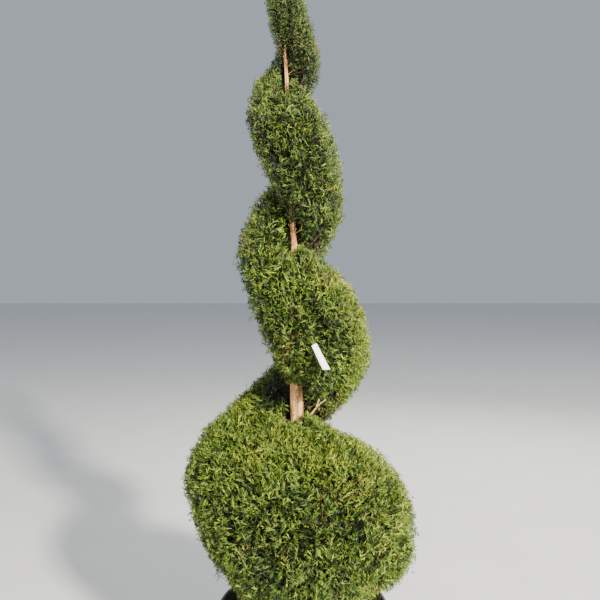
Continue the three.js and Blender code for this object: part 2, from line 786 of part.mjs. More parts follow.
const FOLIAGE = new THREE.MeshStandardMaterial({ color: 0x5d7a2c, roughness: 0.75, metalness: 0 });
const BARK = new THREE.MeshStandardMaterial({ color: 0xa9805f, roughness: 0.85, metalness: 0 });
const POT_PLASTIC = new THREE.MeshStandardMaterial({ color: 0x24262a, roughness: 0.45, metalness: 0 });
const SOIL = new THREE.MeshStandardMaterial({ color: 0x6b5a3f, roughness: 0.95, metalness: 0 });

const group = new THREE.Group();

function add(name, geometry, material) {
  const mesh = new THREE.Mesh(geometry, material.clone());
  mesh.name = name;
  group.add(mesh);
}

add('pot', potGeometry(), POT_PLASTIC);
add('potting_soil', soilGeometry(), SOIL);
add('trunk', geometryOf(trunk), BARK);

MASSES.forEach((mass, index) => {
  if (boughMasses.includes(mass)) {
    const bough = mainPiece(boughSolid(mass, 0).subtract(trunkClearance));
    add(mass.name.replace('foliage', 'bough'), geometryOf(bough), BARK);
  }
  add(mass.name, geometryOf(massSolid(mass, index)), FOLIAGE);
});

export default group;
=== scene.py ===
# %% [markdown]
# # A spiral topiary in its nursery pot
#
# The real thing is an evergreen with one leaning stem, clipped into a band of foliage that winds
# down from a narrow tip to a round foot, and grown in a black plastic pot. This lesson dresses
# the exact model of it: the model gives every place and size, and the cells below make the bark,
# the twigs, the thousands of small sprays of foliage, the moulded pot and the litter on the soil.
#
# Everything is in metres, Z is up, and the front of the plant faces -Y.

# %% Load the exact model
import math

import bpy
import numpy as np
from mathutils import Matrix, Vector, noise


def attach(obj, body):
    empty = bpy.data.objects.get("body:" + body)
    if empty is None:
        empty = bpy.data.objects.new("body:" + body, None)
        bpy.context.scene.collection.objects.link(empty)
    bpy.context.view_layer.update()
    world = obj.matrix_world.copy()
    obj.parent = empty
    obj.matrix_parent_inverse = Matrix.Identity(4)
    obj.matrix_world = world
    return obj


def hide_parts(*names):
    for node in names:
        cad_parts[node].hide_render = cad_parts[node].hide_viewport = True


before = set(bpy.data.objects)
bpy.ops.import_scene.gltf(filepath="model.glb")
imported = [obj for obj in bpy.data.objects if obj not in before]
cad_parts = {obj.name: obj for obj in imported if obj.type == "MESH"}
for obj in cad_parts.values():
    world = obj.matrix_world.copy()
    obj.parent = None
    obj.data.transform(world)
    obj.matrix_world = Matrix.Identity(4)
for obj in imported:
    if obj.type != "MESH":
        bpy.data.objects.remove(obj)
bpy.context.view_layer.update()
NODES = list(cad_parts)
FOLIAGE_NODES = [name for name in NODES if name.startswith("foliage")]
BOUGH_NODES = [name for name in NODES if name.startswith("bough")]
MM = 0.001

# %% [markdown]
# ## Camera
#
# The picture is taken from two metres away, with the camera level at the height of the third
# turn. A level camera keeps upright things upright in the picture. The horizon lies a little
# above the middle, which a small lens shift gives without tilting.

# %% Camera
CAMERA_PLACE = (-0.012, -2.05, 1.52)
SENSOR_WIDTH = 36.0
LENS = 36.06
HORIZON_RISE = 0.02
FARTHEST_SEEN = 60.0


def add_camera():
    bpy.ops.object.camera_add(location=CAMERA_PLACE, rotation=(math.radians(90), 0, 0))
    camera = bpy.context.active_object
    camera.name = "picture_camera"
    camera.data.sensor_width = SENSOR_WIDTH
    camera.data.lens = LENS
    camera.data.shift_y = -HORIZON_RISE
    camera.data.clip_end = FARTHEST_SEEN
    bpy.context.scene.camera = camera


bpy.ops.object.select_all(action="DESELECT")
add_camera()

# %% [markdown]
# ## Reckoning with shader values
#
# Procedural finishes are sums and products of patterns. Placing a Math node for each sum by hand
# is slow to read, so a small class wraps a socket and turns an expression such as
# `0.2 + 0.5 * grain` into nodes. A second class holds one material and adds its nodes.

# %% A socket that reckons like a number
class Field:
    def __init__(self, finish, socket):
        self.finish = finish
        self.socket = socket

    def reckon(self, operation, *values):
        return self.finish.node("ShaderNodeMath", {"operation": operation}, dict(enumerate(values)))

    def __add__(self, other):
        return self.reckon("ADD", self, other)

    __radd__ = __add__

    def __sub__(self, other):
        return self.reckon("SUBTRACT", self, other)

    def __rsub__(self, other):
        return self.reckon("SUBTRACT", other, self)

    def __mul__(self, other):
        return self.reckon("MULTIPLY", self, other)

    __rmul__ = __mul__


# %% A material and its nodes
class Finish:
    def __init__(self, name, roughness, specular=0.5):
        self.material = bpy.data.materials.new(name)
        self.material.use_nodes = True
        self.tree = self.material.node_tree
        self.shader = self.tree.nodes["Principled BSDF"]
        self.shader.inputs["Roughness"].default_value = roughness
        self.shader.inputs["Specular IOR Level"].default_value = specular
        self.place = None

    def node(self, kind, settings, sockets, output=0):
        made = self.tree.nodes.new(kind)
        for setting, value in settings.items():
            setattr(made, setting, value)
        for key, value in sockets.items():
            self.feed(made.inputs[key], value)
        return Field(self, made.outputs[output])

    def feed(self, socket, value):
        if isinstance(value, Field):
            self.tree.links.new(value.socket, socket)
        else:
            socket.default_value = value

    def stretched(self, scale):
        if self.place is None:
            self.place = self.node("ShaderNodeTexCoord", {}, {}, "Object")
        return self.node("ShaderNodeMapping", {}, {"Vector": self.place, "Scale": scale})

    def grain(self, scale, detail=3.0, stretch=(1, 1, 1)):
        sockets = {"Vector": self.stretched(stretch), "Scale": scale, "Detail": detail}
        return self.node("ShaderNodeTexNoise", {}, sockets)

    def cells(self, scale, stretch=(1, 1, 1)):
        sockets = {"Vector": self.stretched(stretch), "Scale": scale}
        return self.node("ShaderNodeTexVoronoi", {}, sockets)

    def spread(self, value, low, high):
        sockets = {"Value": value, "From Min": low, "From Max": high}
        return self.node("ShaderNodeMapRange", {}, sockets)

    def blend(self, share, first, second):
        settings = {"data_type": "RGBA"}
        return self.node("ShaderNodeMix", settings, {0: share, 6: first, 7: second}, 2)

    def colour(self, value):
        self.feed(self.shader.inputs["Base Color"], value)

    def rough(self, value):
        self.feed(self.shader.inputs["Roughness"], value)

    def bump(self, height, strength, distance):
        sockets = {"Height": height, "Strength": strength, "Distance": distance}
        self.feed(self.shader.inputs["Normal"], self.node("ShaderNodeBump", {}, sockets))


# %% [markdown]
# ## Floor and light
#
# The plant stands on a plain pale floor. A strong lamp, far off in front on the right and higher
# than the plant, gives the sides of the lobes that face it their yellow-green glow and leaves
# their far sides darker, as a low sun does; the greens dealt to the sprays paint the same light
# and shade into their colour as well. A weaker, larger lamp in front on the left and a pale
# surround lift the shadows, and one behind picks out the edges of the leaves.

# %% Floor
FLOOR_SIZE = 240.0
FLOOR_COLOUR = (0.78, 0.78, 0.76, 1)
FLOOR_MOTTLE = (0.74, 0.74, 0.73, 1)


def add_floor():
    bpy.ops.mesh.primitive_plane_add(size=FLOOR_SIZE)
    floor = bpy.context.active_object
    floor.name = "studio_floor"
    finish = Finish("pale_floor", roughness=0.8)
    mottle = finish.spread(finish.grain(3.0), low=0.3, high=0.7)
    finish.colour(finish.blend(mottle, FLOOR_COLOUR, FLOOR_MOTTLE))
    floor.data.materials.append(finish.material)


add_floor()

# %% Lights
SURROUND_COLOUR = (0.80, 0.88, 1.0, 1)
SURROUND_STRENGTH = 0.5
AIM = Vector((0, 0, 1.2))
LAMPS = {
    "key_lamp": {"place": (5.7, -8.9, 5.9), "size": 1.0, "power": 4800, "colour": (1.0, 0.95, 0.84)},
    "fill_lamp": {"place": (-2.0, -6.0, 1.8), "size": 2.0, "power": 110, "colour": (1.0, 0.97, 0.9)},
    "back_lamp": {"place": (2.0, 4.0, 4.0), "size": 2.5, "power": 200, "colour": (1.0, 0.97, 0.9)},
}


def add_lamp(name, place, size, power, colour):
    bpy.ops.object.light_add(type="AREA", location=place)
    lamp = bpy.context.active_object
    lamp.name = name
    lamp.rotation_euler = (AIM - Vector(place)).to_track_quat("-Z", "Y").to_euler()
    lamp.data.size = size
    lamp.data.energy = power
    lamp.data.color = colour


def add_surround():
    world = bpy.data.worlds.new("pale_surround")
    world.use_nodes = True
    background = world.node_tree.nodes["Background"]
    background.inputs["Color"].default_value = SURROUND_COLOUR
    background.inputs["Strength"].default_value = SURROUND_STRENGTH
    bpy.context.scene.world = world


for lamp_name, lamp_values in LAMPS.items():
    add_lamp(lamp_name, **lamp_values)
add_surround()

# %% [markdown]
# ## Helpers for modelling
#
# Every piece starts from nothing selected, since an operator acts on all that is selected. The
# helpers below keep the steps short: one begins a piece, one grows a ring, one smooths all but
# the sharp corners, and one hands a finished piece to the model, with its finish and the nodes
# that it stands for. Shapes that repeat by the thousand are stacked into one pair of arrays, of
# points and of faces, and `joined` makes one mesh of them.

# %% Begin and hand over a piece
def begin():
    if bpy.context.object and bpy.context.object.mode != "OBJECT":
        bpy.ops.object.mode_set(mode="OBJECT")
    bpy.ops.object.select_all(action="DESELECT")


def only(piece):
    begin()
    piece.select_set(True)
    bpy.context.view_layer.objects.active = piece


def hand_over(piece, name, finish, nodes=()):
    piece.name = name
    piece.data.name = name
    piece.data.materials.clear()
    piece.data.materials.append(finish.material)
    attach(piece, "root")
    if nodes:
        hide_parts(*nodes)
    print(name, len(piece.data.polygons), "faces")


def grow_ring(factor, rise):
    bpy.ops.mesh.extrude_region_move(TRANSFORM_OT_translate={"value": (0, 0, rise)})
    bpy.ops.transform.resize(value=(factor, factor, 1), center_override=(0, 0, 0))


def smooth(below_degrees):
    bpy.ops.object.shade_smooth_by_angle(angle=math.radians(below_degrees))


def place_in_mesh(piece):
    only(piece)
    bpy.ops.object.transform_apply(location=True, rotation=True, scale=True)


def outward(piece):
    only(piece)
    bpy.ops.object.mode_set(mode="EDIT")
    bpy.ops.mesh.select_all(action="SELECT")
    bpy.ops.mesh.normals_make_consistent(inside=False)
    bpy.ops.object.mode_set(mode="OBJECT")


def points_of(piece):
    points = np.empty(len(piece.data.vertices) * 3)
    piece.data.vertices.foreach_get("co", points)
    return points.reshape(-1, 3)


def move_points(piece, points):
    piece.data.vertices.foreach_set("co", points.ravel())
    piece.data.update()


# %% Many small shapes as one mesh
def joined(name, points, faces):
    mesh = bpy.data.meshes.new(name)
    mesh.vertices.add(len(points))
    mesh.vertices.foreach_set("co", np.ascontiguousarray(points, dtype=np.float32).ravel())
    mesh.loops.add(faces.size)
    mesh.loops.foreach_set("vertex_index", faces.astype(np.int32).ravel())
    mesh.polygons.add(len(faces))
    mesh.polygons.foreach_set("loop_start", np.arange(0, faces.size, faces.shape[1], dtype=np.int32))
    mesh.update(calc_edges=True)
    mesh.validate()
    piece = bpy.data.objects.new(name, mesh)
    bpy.context.collection.objects.link(piece)
    return piece


def stacked(pieces):
    points, faces = zip(*pieces)
    firsts = np.cumsum([0] + [len(part) for part in points[:-1]])
    return np.concatenate(points), np.concatenate([part + first for part, first in zip(faces, firsts)])


def lerp(a, b, share):
    return a + (b - a) * share


TINY = 1e-9


def unit(vectors):
    return vectors / np.maximum(np.linalg.norm(vectors, axis=-1, keepdims=True), TINY)


def ripple(points, scale):
    return np.array([noise.noise(Vector(point) * scale) for point in points])


# %% [markdown]
# ## The pot
#
# A nursery pot is blow-moulded in one go: a flat foot, a wall with wide upright flutes that
# stiffen it, a step, a smooth collar, a bead and a thick rolled rim. By hand it is a disc that is
# extruded ring by ring up the outside, over the rim and down the inside. The outline gives the
# radius and height of each ring, and where a corner is soft its rings stand close together. The
# flutes are then pressed in by moving the wall's points.

# %% Pot measures
POT_HEIGHT = 440 * MM
POT_TOP_RADIUS = 290 * MM
POT_BASE_RADIUS = 250 * MM
POT_WALL = 4 * MM
POT_FLOOR = 5 * MM
RIM_FOOT = POT_HEIGHT - 35 * MM
RIM_LIP = 12 * MM
COLLAR_FOOT = RIM_FOOT - 92 * MM
COLLAR_RADIUS = 278 * MM
FLUTE_TOP = COLLAR_FOOT - 8 * MM
FLUTE_COUNT = 24
FLUTE_DEPTH = 4.5 * MM
FLUTE_FOOT = 20 * MM
FLUTE_BREADTH = 0.7
FLUTE_LEAN = 0.85
POT_CORNERS = 8 * FLUTE_COUNT
FOOT_CORNER = 8 * MM
RIM_CORNER = 6 * MM


def rim_corner(first_degrees, step_degrees, rings, height):
    corner = []
    for ring in range(rings):
        angle = math.radians(first_degrees + step_degrees * ring)
        corner.append((POT_TOP_RADIUS - RIM_CORNER + RIM_CORNER * math.cos(angle),
                       height + RIM_CORNER * math.sin(angle)))
    return corner


def pot_outline():
    flute_top_radius = lerp(POT_BASE_RADIUS, COLLAR_RADIUS, FLUTE_LEAN)
    outside = [
        (POT_BASE_RADIUS - 1 * MM, 4 * MM),
        (POT_BASE_RADIUS, FOOT_CORNER),
        (POT_BASE_RADIUS + 2 * MM, 24 * MM),
        (POT_BASE_RADIUS + 3 * MM, 34 * MM),
        (lerp(POT_BASE_RADIUS, flute_top_radius, 0.5), lerp(0, FLUTE_TOP, 0.5)),
        (flute_top_radius - 1 * MM, FLUTE_TOP - 14 * MM),
        (flute_top_radius, FLUTE_TOP - 4 * MM),
        (COLLAR_RADIUS - 3 * MM, COLLAR_FOOT - 2 * MM),
        (COLLAR_RADIUS - 2 * MM, COLLAR_FOOT + 4 * MM),
        (COLLAR_RADIUS - 1 * MM, lerp(COLLAR_FOOT, RIM_FOOT, 0.6)),
        (COLLAR_RADIUS, RIM_FOOT - 9 * MM),
        (COLLAR_RADIUS + 2.2 * MM, RIM_FOOT - 7.5 * MM),
        (COLLAR_RADIUS + 3 * MM, RIM_FOOT - 5 * MM),
        (COLLAR_RADIUS + 2.2 * MM, RIM_FOOT - 2.5 * MM),
        (COLLAR_RADIUS, RIM_FOOT - 1 * MM),
        (COLLAR_RADIUS + 1 * MM, RIM_FOOT + 3 * MM),
    ]
    rolled = rim_corner(-90, 30, 4, RIM_FOOT + 4 * MM + RIM_CORNER)
    rolled += rim_corner(0, 22.5, 5, POT_HEIGHT - RIM_CORNER)
    inside = [
        (POT_TOP_RADIUS - RIM_LIP + 2 * MM, POT_HEIGHT - 0.5 * MM),
        (POT_TOP_RADIUS - RIM_LIP, POT_HEIGHT - 3 * MM),
        (COLLAR_RADIUS - POT_WALL + 1 * MM, RIM_FOOT + 12 * MM),
        (COLLAR_RADIUS - POT_WALL, RIM_FOOT - 4 * MM),
        (POT_BASE_RADIUS - POT_WALL - 4 * MM, POT_FLOOR + 10 * MM),
        (POT_BASE_RADIUS - POT_WALL - 14 * MM, POT_FLOOR),
    ]
    return outside + rolled + inside


# %% Turn the pot
def press_flutes(points):
    radius = np.hypot(points[:, 0], points[:, 1])
    angle = np.arctan2(points[:, 1], points[:, 0])
    height = points[:, 2]
    wall = (radius > POT_BASE_RADIUS) & (height > FLUTE_FOOT) & (height < FLUTE_TOP - 2 * MM)
    wave = 0.5 - 0.5 * np.cos(FLUTE_COUNT * angle)
    depth = np.where(wall, FLUTE_DEPTH * wave ** FLUTE_BREADTH, 0)
    points[:, :2] *= (1 - depth / np.maximum(radius, TINY))[:, None]
    return points


def make_pot(finish):
    begin()
    first = POT_BASE_RADIUS - FOOT_CORNER
    bpy.ops.mesh.primitive_circle_add(vertices=POT_CORNERS, radius=first, fill_type="NGON")
    pot = bpy.context.active_object
    bpy.ops.object.mode_set(mode="EDIT")
    bpy.ops.mesh.select_all(action="SELECT")
    radius, height = first, 0.0
    for next_radius, next_height in pot_outline():
        grow_ring(next_radius / radius, next_height - height)
        radius, height = next_radius, next_height
    bpy.ops.object.mode_set(mode="OBJECT")
    move_points(pot, press_flutes(points_of(pot)))
    outward(pot)
    smooth(below_degrees=40)
    hand_over(pot, "moulded_pot", finish, ["pot"])


# %% [markdown]
# The plastic is charcoal black and satin. Outdoors it turns a little grey, gathers pale dust in
# streaks, and gets fine scuffs that run round it.

# %% Pot plastic
CHARCOAL = (0.018, 0.019, 0.021, 1)
DUSTY = (0.085, 0.083, 0.078, 1)


def pot_plastic():
    finish = Finish("pot_plastic", roughness=0.42, specular=0.45)
    dust = finish.spread(finish.grain(7.0, detail=5.0), low=0.45, high=0.78)
    runs = finish.grain(30.0, detail=2.0, stretch=(1, 1, 0.12))
    film = 0.5 * dust + 0.3 * finish.spread(runs, low=0.5, high=0.75)
    finish.colour(finish.blend(film, CHARCOAL, DUSTY))
    finish.rough(0.36 + 0.25 * film)
    scuffs = finish.grain(260.0, detail=2.0, stretch=(1, 1, 3)) + 0.6 * finish.grain(24.0)
    finish.bump(scuffs, strength=0.18, distance=1.2 * MM)
    return finish


make_pot(pot_plastic())

# %% [markdown]
# ## The soil
#
# The pot is filled with bark compost to two fingers below the rim. Years of clipping have left a
# mat of dry brown scraps and pale chips on it. The soil is a disc drawn in ring by ring and
# roughened point by point, with coarse, middling and fine waves. The litter is three joined
# meshes, of pale chips, bark chips and dry scraps.

# %% Soil
SOIL_TOP = 405 * MM
SOIL_EDGE_DROP = 10 * MM
SOIL_SEAT = 60 * MM
SOIL_RINGS = 44
SOIL_CORNERS = 128
SOIL_RADIUS = COLLAR_RADIUS - POT_WALL - 2.5 * MM
SOIL_FOOT_RADIUS = SOIL_RADIUS - 8 * MM
SOIL_SETTLED = 1.5 * MM
SOIL_WAVES = ((5 * MM, 0, 9), (3 * MM, 3, 45), (1.5 * MM, 0, 130))
SMOOTH_EDGE = 6


def soil_height(points):
    share = np.hypot(points[:, 0], points[:, 1]) / SOIL_RADIUS
    level = SOIL_TOP - SOIL_EDGE_DROP * np.clip(2 * share - 1, 0, 1)
    flat = np.column_stack([points[:, :2], np.zeros(len(points))])
    rough = sum(height * ripple(flat + shift, scale) for height, shift, scale in SOIL_WAVES)
    return level - SOIL_SETTLED + rough * np.clip(SMOOTH_EDGE * (1 - share), 0, 1)


def make_soil(finish):
    begin()
    bpy.ops.mesh.primitive_circle_add(vertices=SOIL_CORNERS, radius=SOIL_FOOT_RADIUS, fill_type="NGON",
                                      location=(0, 0, SOIL_TOP - SOIL_EDGE_DROP - SOIL_SEAT))
    soil = bpy.context.active_object
    place_in_mesh(soil)
    bpy.ops.object.mode_set(mode="EDIT")
    bpy.ops.mesh.select_all(action="SELECT")
    grow_ring(SOIL_RADIUS / SOIL_FOOT_RADIUS, SOIL_SEAT)
    radius = SOIL_RADIUS
    for ring in range(1, SOIL_RINGS):
        next_radius = SOIL_RADIUS * (1 - ring / SOIL_RINGS)
        grow_ring(next_radius / radius, 0)
        radius = next_radius
    bpy.ops.object.mode_set(mode="OBJECT")
    points = points_of(soil)
    top = points[:, 2] > SOIL_TOP - SOIL_EDGE_DROP - 1 * MM
    points[top, 2] = soil_height(points[top])
    move_points(soil, points)
    outward(soil)
    smooth(below_degrees=50)
    hand_over(soil, "compost", finish, ["potting_soil"])


DAMP_SOIL = (0.045, 0.028, 0.017, 1)
DRY_SOIL = (0.21, 0.145, 0.085, 1)


def compost():
    finish = Finish("compost", roughness=0.95, specular=0.2)
    crumbs = finish.cells(210.0)
    damp = finish.spread(finish.grain(14.0), low=0.35, high=0.65)
    dryness = finish.spread(crumbs + 0.5 * damp, low=0.2, high=1.0)
    finish.colour(finish.blend(dryness, DAMP_SOIL, DRY_SOIL))
    finish.bump(crumbs + 0.5 * finish.grain(500.0), strength=0.7, distance=4 * MM)
    return finish


make_soil(compost())

# %% Litter
CHIP_COUNT = 1900
SCRAP_COUNT = 3000
PALE_CHIP_SIZES = {"length": (6 * MM, 17 * MM), "width": (3 * MM, 8 * MM), "height": (1 * MM, 3 * MM)}
BARK_CHIP_SIZES = {"length": (7 * MM, 24 * MM), "width": (3 * MM, 11 * MM), "height": (1.5 * MM, 4 * MM)}
SCRAP_SIZES = {"length": (9 * MM, 30 * MM), "width": (0.9 * MM, 2.2 * MM), "height": (0.6 * MM, 1.4 * MM)}
BARE_MIDDLE = 0.02
CHIP_TILT = 0.22
CHIP_TAPER = 0.85
CHIP_SIDES = 6
CHIP_CORNERS = [(-0.5, -0.4), (-0.1, -0.5), (0.5, -0.25), (0.42, 0.3), (0, 0.5), (-0.42, 0.3)]


def scattered(count, random, margin):
    angle = random.uniform(0, 2 * math.pi, count)
    radius = (SOIL_RADIUS - margin) * np.sqrt(random.uniform(BARE_MIDDLE, 1, count))
    flat = np.column_stack([radius * np.cos(angle), radius * np.sin(angle), np.zeros(count)])
    flat[:, 2] = soil_height(flat)
    return flat


def lying_frames(count, random, tilt):
    turn = random.uniform(0, 2 * math.pi, count)
    ahead = np.column_stack([np.cos(turn), np.sin(turn), random.uniform(-tilt, tilt, count)])
    ahead = unit(ahead)
    up = unit(np.column_stack([random.normal(0, tilt, (count, 2)), np.ones(count)]))
    across = unit(np.cross(ahead, up))
    return ahead, across, np.cross(across, ahead)


def chips(name, count, seed, sizes, finish):
    random = np.random.default_rng(seed)
    middle = scattered(count, random, sizes["length"][1] / 2)
    ahead, across, up = lying_frames(count, random, CHIP_TILT)
    length = random.uniform(*sizes["length"], count)[:, None]
    width = random.uniform(*sizes["width"], count)[:, None]
    height = random.uniform(*sizes["height"], count)[:, None]
    ring = [middle + ahead * length * a + across * width * b for a, b in CHIP_CORNERS]
    low = [point - up * height * 0.5 for point in ring]
    high = [middle + (point - middle) * CHIP_TAPER + up * height * 0.5 for point in ring]
    points = np.stack(low + high, axis=1)
    n = CHIP_SIDES
    faces = [(n, n + i, n + i + 1) for i in range(1, n - 1)]
    faces += [(i + 1, i, 0) for i in range(1, n - 1)]
    for i in range(n):
        k = (i + 1) % n
        faces += [(i, k, k + n), (i, k + n, i + n)]
    faces = np.array(faces)[None] + (np.arange(count) * 2 * n)[:, None, None]
    piece = joined(name, points.reshape(-1, 3), faces.reshape(-1, 3))
    hand_over(piece, name, finish)


def dry_litter(name, light, dark):
    finish = Finish(name, roughness=0.9, specular=0.25)
    finish.colour(finish.blend(finish.spread(finish.grain(90.0), low=0.35, high=0.65), dark, light))
    finish.bump(finish.grain(600.0), strength=0.4, distance=1 * MM)
    return finish


chips("pale_chips", CHIP_COUNT // 3, 11, PALE_CHIP_SIZES,
      dry_litter("pale_chip", light=(0.52, 0.42, 0.29, 1), dark=(0.33, 0.24, 0.15, 1)))
chips("bark_chips", CHIP_COUNT, 12, BARK_CHIP_SIZES,
      dry_litter("bark_chip", light=(0.24, 0.15, 0.085, 1), dark=(0.07, 0.042, 0.025, 1)))
chips("dry_scraps", SCRAP_COUNT, 13, SCRAP_SIZES,
      dry_litter("dry_scrap", light=(0.40, 0.27, 0.13, 1), dark=(0.20, 0.13, 0.06, 1)))

# %% [markdown]
# ## The stem
#
# The stem leans to the left and tapers from a root flare at the soil to a thin leader in the tip.
# Its bark is pinkish tan and peels in long upright strips, so the relief has to be far longer
# than it is wide. The stem is a ring that is extruded upwards in equal steps and subdivided. Its
# points then take their lean and their radius from the stations of the exact model, and a noise
# that is stretched along the stem raises the strips.

# %% Stem measures
STATION_HEIGHTS = MM * np.array([405, 1000, 1155, 1680, 2230, 2600])
STATION_LEANS = MM * np.array([0, -18, -24, -34, -58, -77])
STATION_RADII = MM * np.array([29, 23, 21, 10, 6.5, 3])
FLARE = 13 * MM
FLARE_FADE = 48 * MM
FLARE_RIBS = 5
FLARE_RIB_DEPTH = 0.3


def trunk_lean(z):
    return np.interp(z, STATION_HEIGHTS, STATION_LEANS)


def flare(z):
    return FLARE * np.exp(-(np.asarray(z) - SOIL_TOP) / FLARE_FADE)


def trunk_radius(z):
    return np.interp(z, STATION_HEIGHTS, STATION_RADII) + flare(z)


# %% Bark relief
BARK_STRETCH = 11
RIDGES_ROUND = 2.6
RIDGE_SHARPNESS = 2.2
RIDGE_HEIGHT = 0.055
THREADS_ROUND = 7
THREAD_STRETCH = 2.2
THREAD_HEIGHT = 0.05
LUMP_SCALE = 22
LUMP_HEIGHT = 0.06


def strips(points, radius):
    angle = np.arctan2(points[:, 1], points[:, 0])
    x, y, z = np.cos(angle), np.sin(angle), points[:, 2]
    wide = np.column_stack([RIDGES_ROUND * x, RIDGES_ROUND * y, z * BARK_STRETCH])
    fine = np.column_stack([THREADS_ROUND * x, THREADS_ROUND * y, z * THREAD_STRETCH * BARK_STRETCH])
    ridges = 1 - RIDGE_SHARPNESS * np.abs(ripple(wide, 1.0))
    threads = ripple(fine, 1.0)
    lumps = ripple(points, LUMP_SCALE)
    return radius * (RIDGE_HEIGHT * ridges + THREAD_HEIGHT * threads + LUMP_HEIGHT * lumps)


# %% Draw up the stem
STEM_SIDES = 20
STEM_RING_STEP = 42 * MM
STEM_SINK = 6 * MM
STEM_SUBDIVISIONS = 2
STEM_SWAY = 1.5 * MM
SWAY_SCALE = 6
WALL_FROM = 0.9


def make_stem(finish):
    begin()
    foot = SOIL_TOP - STEM_SINK
    bpy.ops.mesh.primitive_circle_add(vertices=STEM_SIDES, radius=1.0, fill_type="NGON",
                                      location=(0, 0, foot))
    stem = bpy.context.active_object
    place_in_mesh(stem)
    bpy.ops.object.mode_set(mode="EDIT")
    bpy.ops.mesh.select_all(action="SELECT")
    count = int((STATION_HEIGHTS[-1] - foot) / STEM_RING_STEP)
    rise = (STATION_HEIGHTS[-1] - foot) / count
    for _ in range(count):
        bpy.ops.mesh.extrude_region_move(TRANSFORM_OT_translate={"value": (0, 0, rise)})
    bpy.ops.object.mode_set(mode="OBJECT")
    bpy.ops.object.modifier_add(type="SUBSURF")
    refined = stem.modifiers[0]
    refined.subdivision_type = "SIMPLE"
    refined.levels = refined.render_levels = STEM_SUBDIVISIONS
    bpy.ops.object.modifier_apply(modifier=refined.name)
    points = points_of(stem)
    away = np.hypot(points[:, 0], points[:, 1])
    angle = np.arctan2(points[:, 1], points[:, 0])
    z = points[:, 2]
    ribs = FLARE_RIB_DEPTH * flare(z) * np.cos(FLARE_RIBS * angle)
    radius = trunk_radius(z) + ribs + strips(points, trunk_radius(z))
    share = np.clip(away / math.cos(math.pi / STEM_SIDES), 0, 1)
    share = np.where(away > WALL_FROM, 1, share)
    sway = STEM_SWAY * ripple(np.column_stack([z * 0, z * 0, z]), SWAY_SCALE)
    points[:, 0] = trunk_lean(z) + sway + radius * share * np.cos(angle)
    points[:, 1] = radius * share * np.sin(angle)
    move_points(stem, points)
    outward(stem)
    smooth(below_degrees=60)
    hand_over(stem, "bark_stem", finish, ["trunk"])


# %% [markdown]
# One bark finish serves the stem, the boughs, the twigs and the dead wood, with three colours for
# each kind of wood. Fine fibres and broader plates run along it, with the dark colour between
# them, and slow weathering leaves some patches paler.

# %% Bark finish
def bark(name, light, middle, dark):
    finish = Finish(name, roughness=0.85, specular=0.25)
    fibre = finish.grain(150.0, detail=4.0, stretch=(1, 1, 0.08))
    fibre = finish.spread(fibre, low=0.36, high=0.64)
    plates = finish.grain(38.0, detail=3.0, stretch=(1, 1, 0.16))
    plates = finish.spread(plates, low=0.38, high=0.62)
    weather = finish.spread(finish.grain(11.0, detail=2.0), low=0.35, high=0.7)
    tan = finish.blend(plates, middle, light)
    clean = finish.spread(fibre + 0.25 * weather, low=0.05, high=0.75)
    finish.colour(finish.blend(clean, dark, tan))
    finish.rough(0.7 + 0.25 * fibre)
    finish.bump(fibre + 0.6 * plates, strength=1.0, distance=3.5 * MM)
    return finish


STEM_BARK = bark("stem_bark", light=(0.93, 0.54, 0.23, 1), middle=(0.76, 0.40, 0.16, 1),
                 dark=(0.30, 0.13, 0.05, 1))
make_stem(STEM_BARK)

# %% [markdown]
# ## The shape of the crown
#
# The clipper works round the plant along a spiral, so the crown is written in turns: turn 0 is at
# the front of the uppermost turn, a quarter more is at the right, a half at the back, and the
# band sinks as the number grows. Between turn t and turn t + 1 lies one lobe of foliage, with a
# bare groove above it and one below it. These are the same rules and values as in the exact
# model, written for whole arrays of places at once.
#
# At each front the groove runs level for a while and opens to a window on the bare stem, and on
# the left the shoulder of the lobe under it dips. From the stem outwards a lobe swells from its
# top edge to a belly, which sits higher on the left, and draws in again to its lower edge. How
# full it is changes round the turn, and a few slim places narrow it more.

# %% Crown measures
GROOVE_HEIGHTS = MM * np.array([
    2720, 2600, 2450, 2310,
    2250, 2165, 2040, 1870,
    1695, 1635, 1380, 1195,
    1130, 1062, 860, 465,
    200,
])
GROOVE_HALF_WIDTHS = MM * np.array([20, 20, 22, 22, 24, 26, 24, 24, 30])
WINDOW_ABOVE = MM * np.array([50, 18, 41])
WINDOW_BELOW = MM * np.array([43, 24, 14])
WINDOW_SPREAD_LEFT = 0.1
WINDOW_SPREAD_RIGHT = 0.05
LEVEL_SPREAD_RIGHT = 0.15
LEVEL_SPREADS_LEFT = np.array([0.15, 0.06, 0.15])
SHOULDER_DIPS = MM * np.array([25, 5, 60])
DIP_FROM_FRONT = -0.25
DIP_SPREAD = 0.18
LOBE_REACHES = MM * np.array([71, 113, 146, 167, 201, 245, 393, 368, 250])
FIRST_REACH_TURN = -0.25
CROWN_TOP = 2630 * MM
CROWN_FOOT = 450 * MM
FOOT_RISE = 50 * MM
FOOT_RISE_TURN = 3.2
FOOT_RISE_SPREAD = 0.15
CROWN_SHIFT = 10 * MM
TIP_TAPER_HEIGHT = 300 * MM
TIP_TAPER_RADIUS = 105 * MM
TIP_TAPER_POWER = 0.6
TIP_ROUNDING = 15 * MM
UNLIMITED = 1e3
BELLY_LEFT = 0.33
BELLY_RIGHT = 0.56
FULL_TURN = 0.15
LEAST_FULL = 0.3
LEAST_FULL_FROM = 2.5
HOLLOW_TURN = 3.05
HOLLOW_SPREAD = 0.1
SLIM_SPREAD = 0.21
LEAN_PROFILE = (2.4, 0.7)
FULL_PROFILE = (3.4, 0.47)
SLIM_PROFILES = {1.75: (1.2, 1.1), 2.25: (2.2, 0.7), 2.75: (1.1, 0.4)}
SHELL_DEPTH = 20 * MM
SHELL_SHARE = 0.25
SINK_AT_EDGES = 0.2
SINK_AT_TIP = 0.6
SHIFT_FROM = 5 * MM
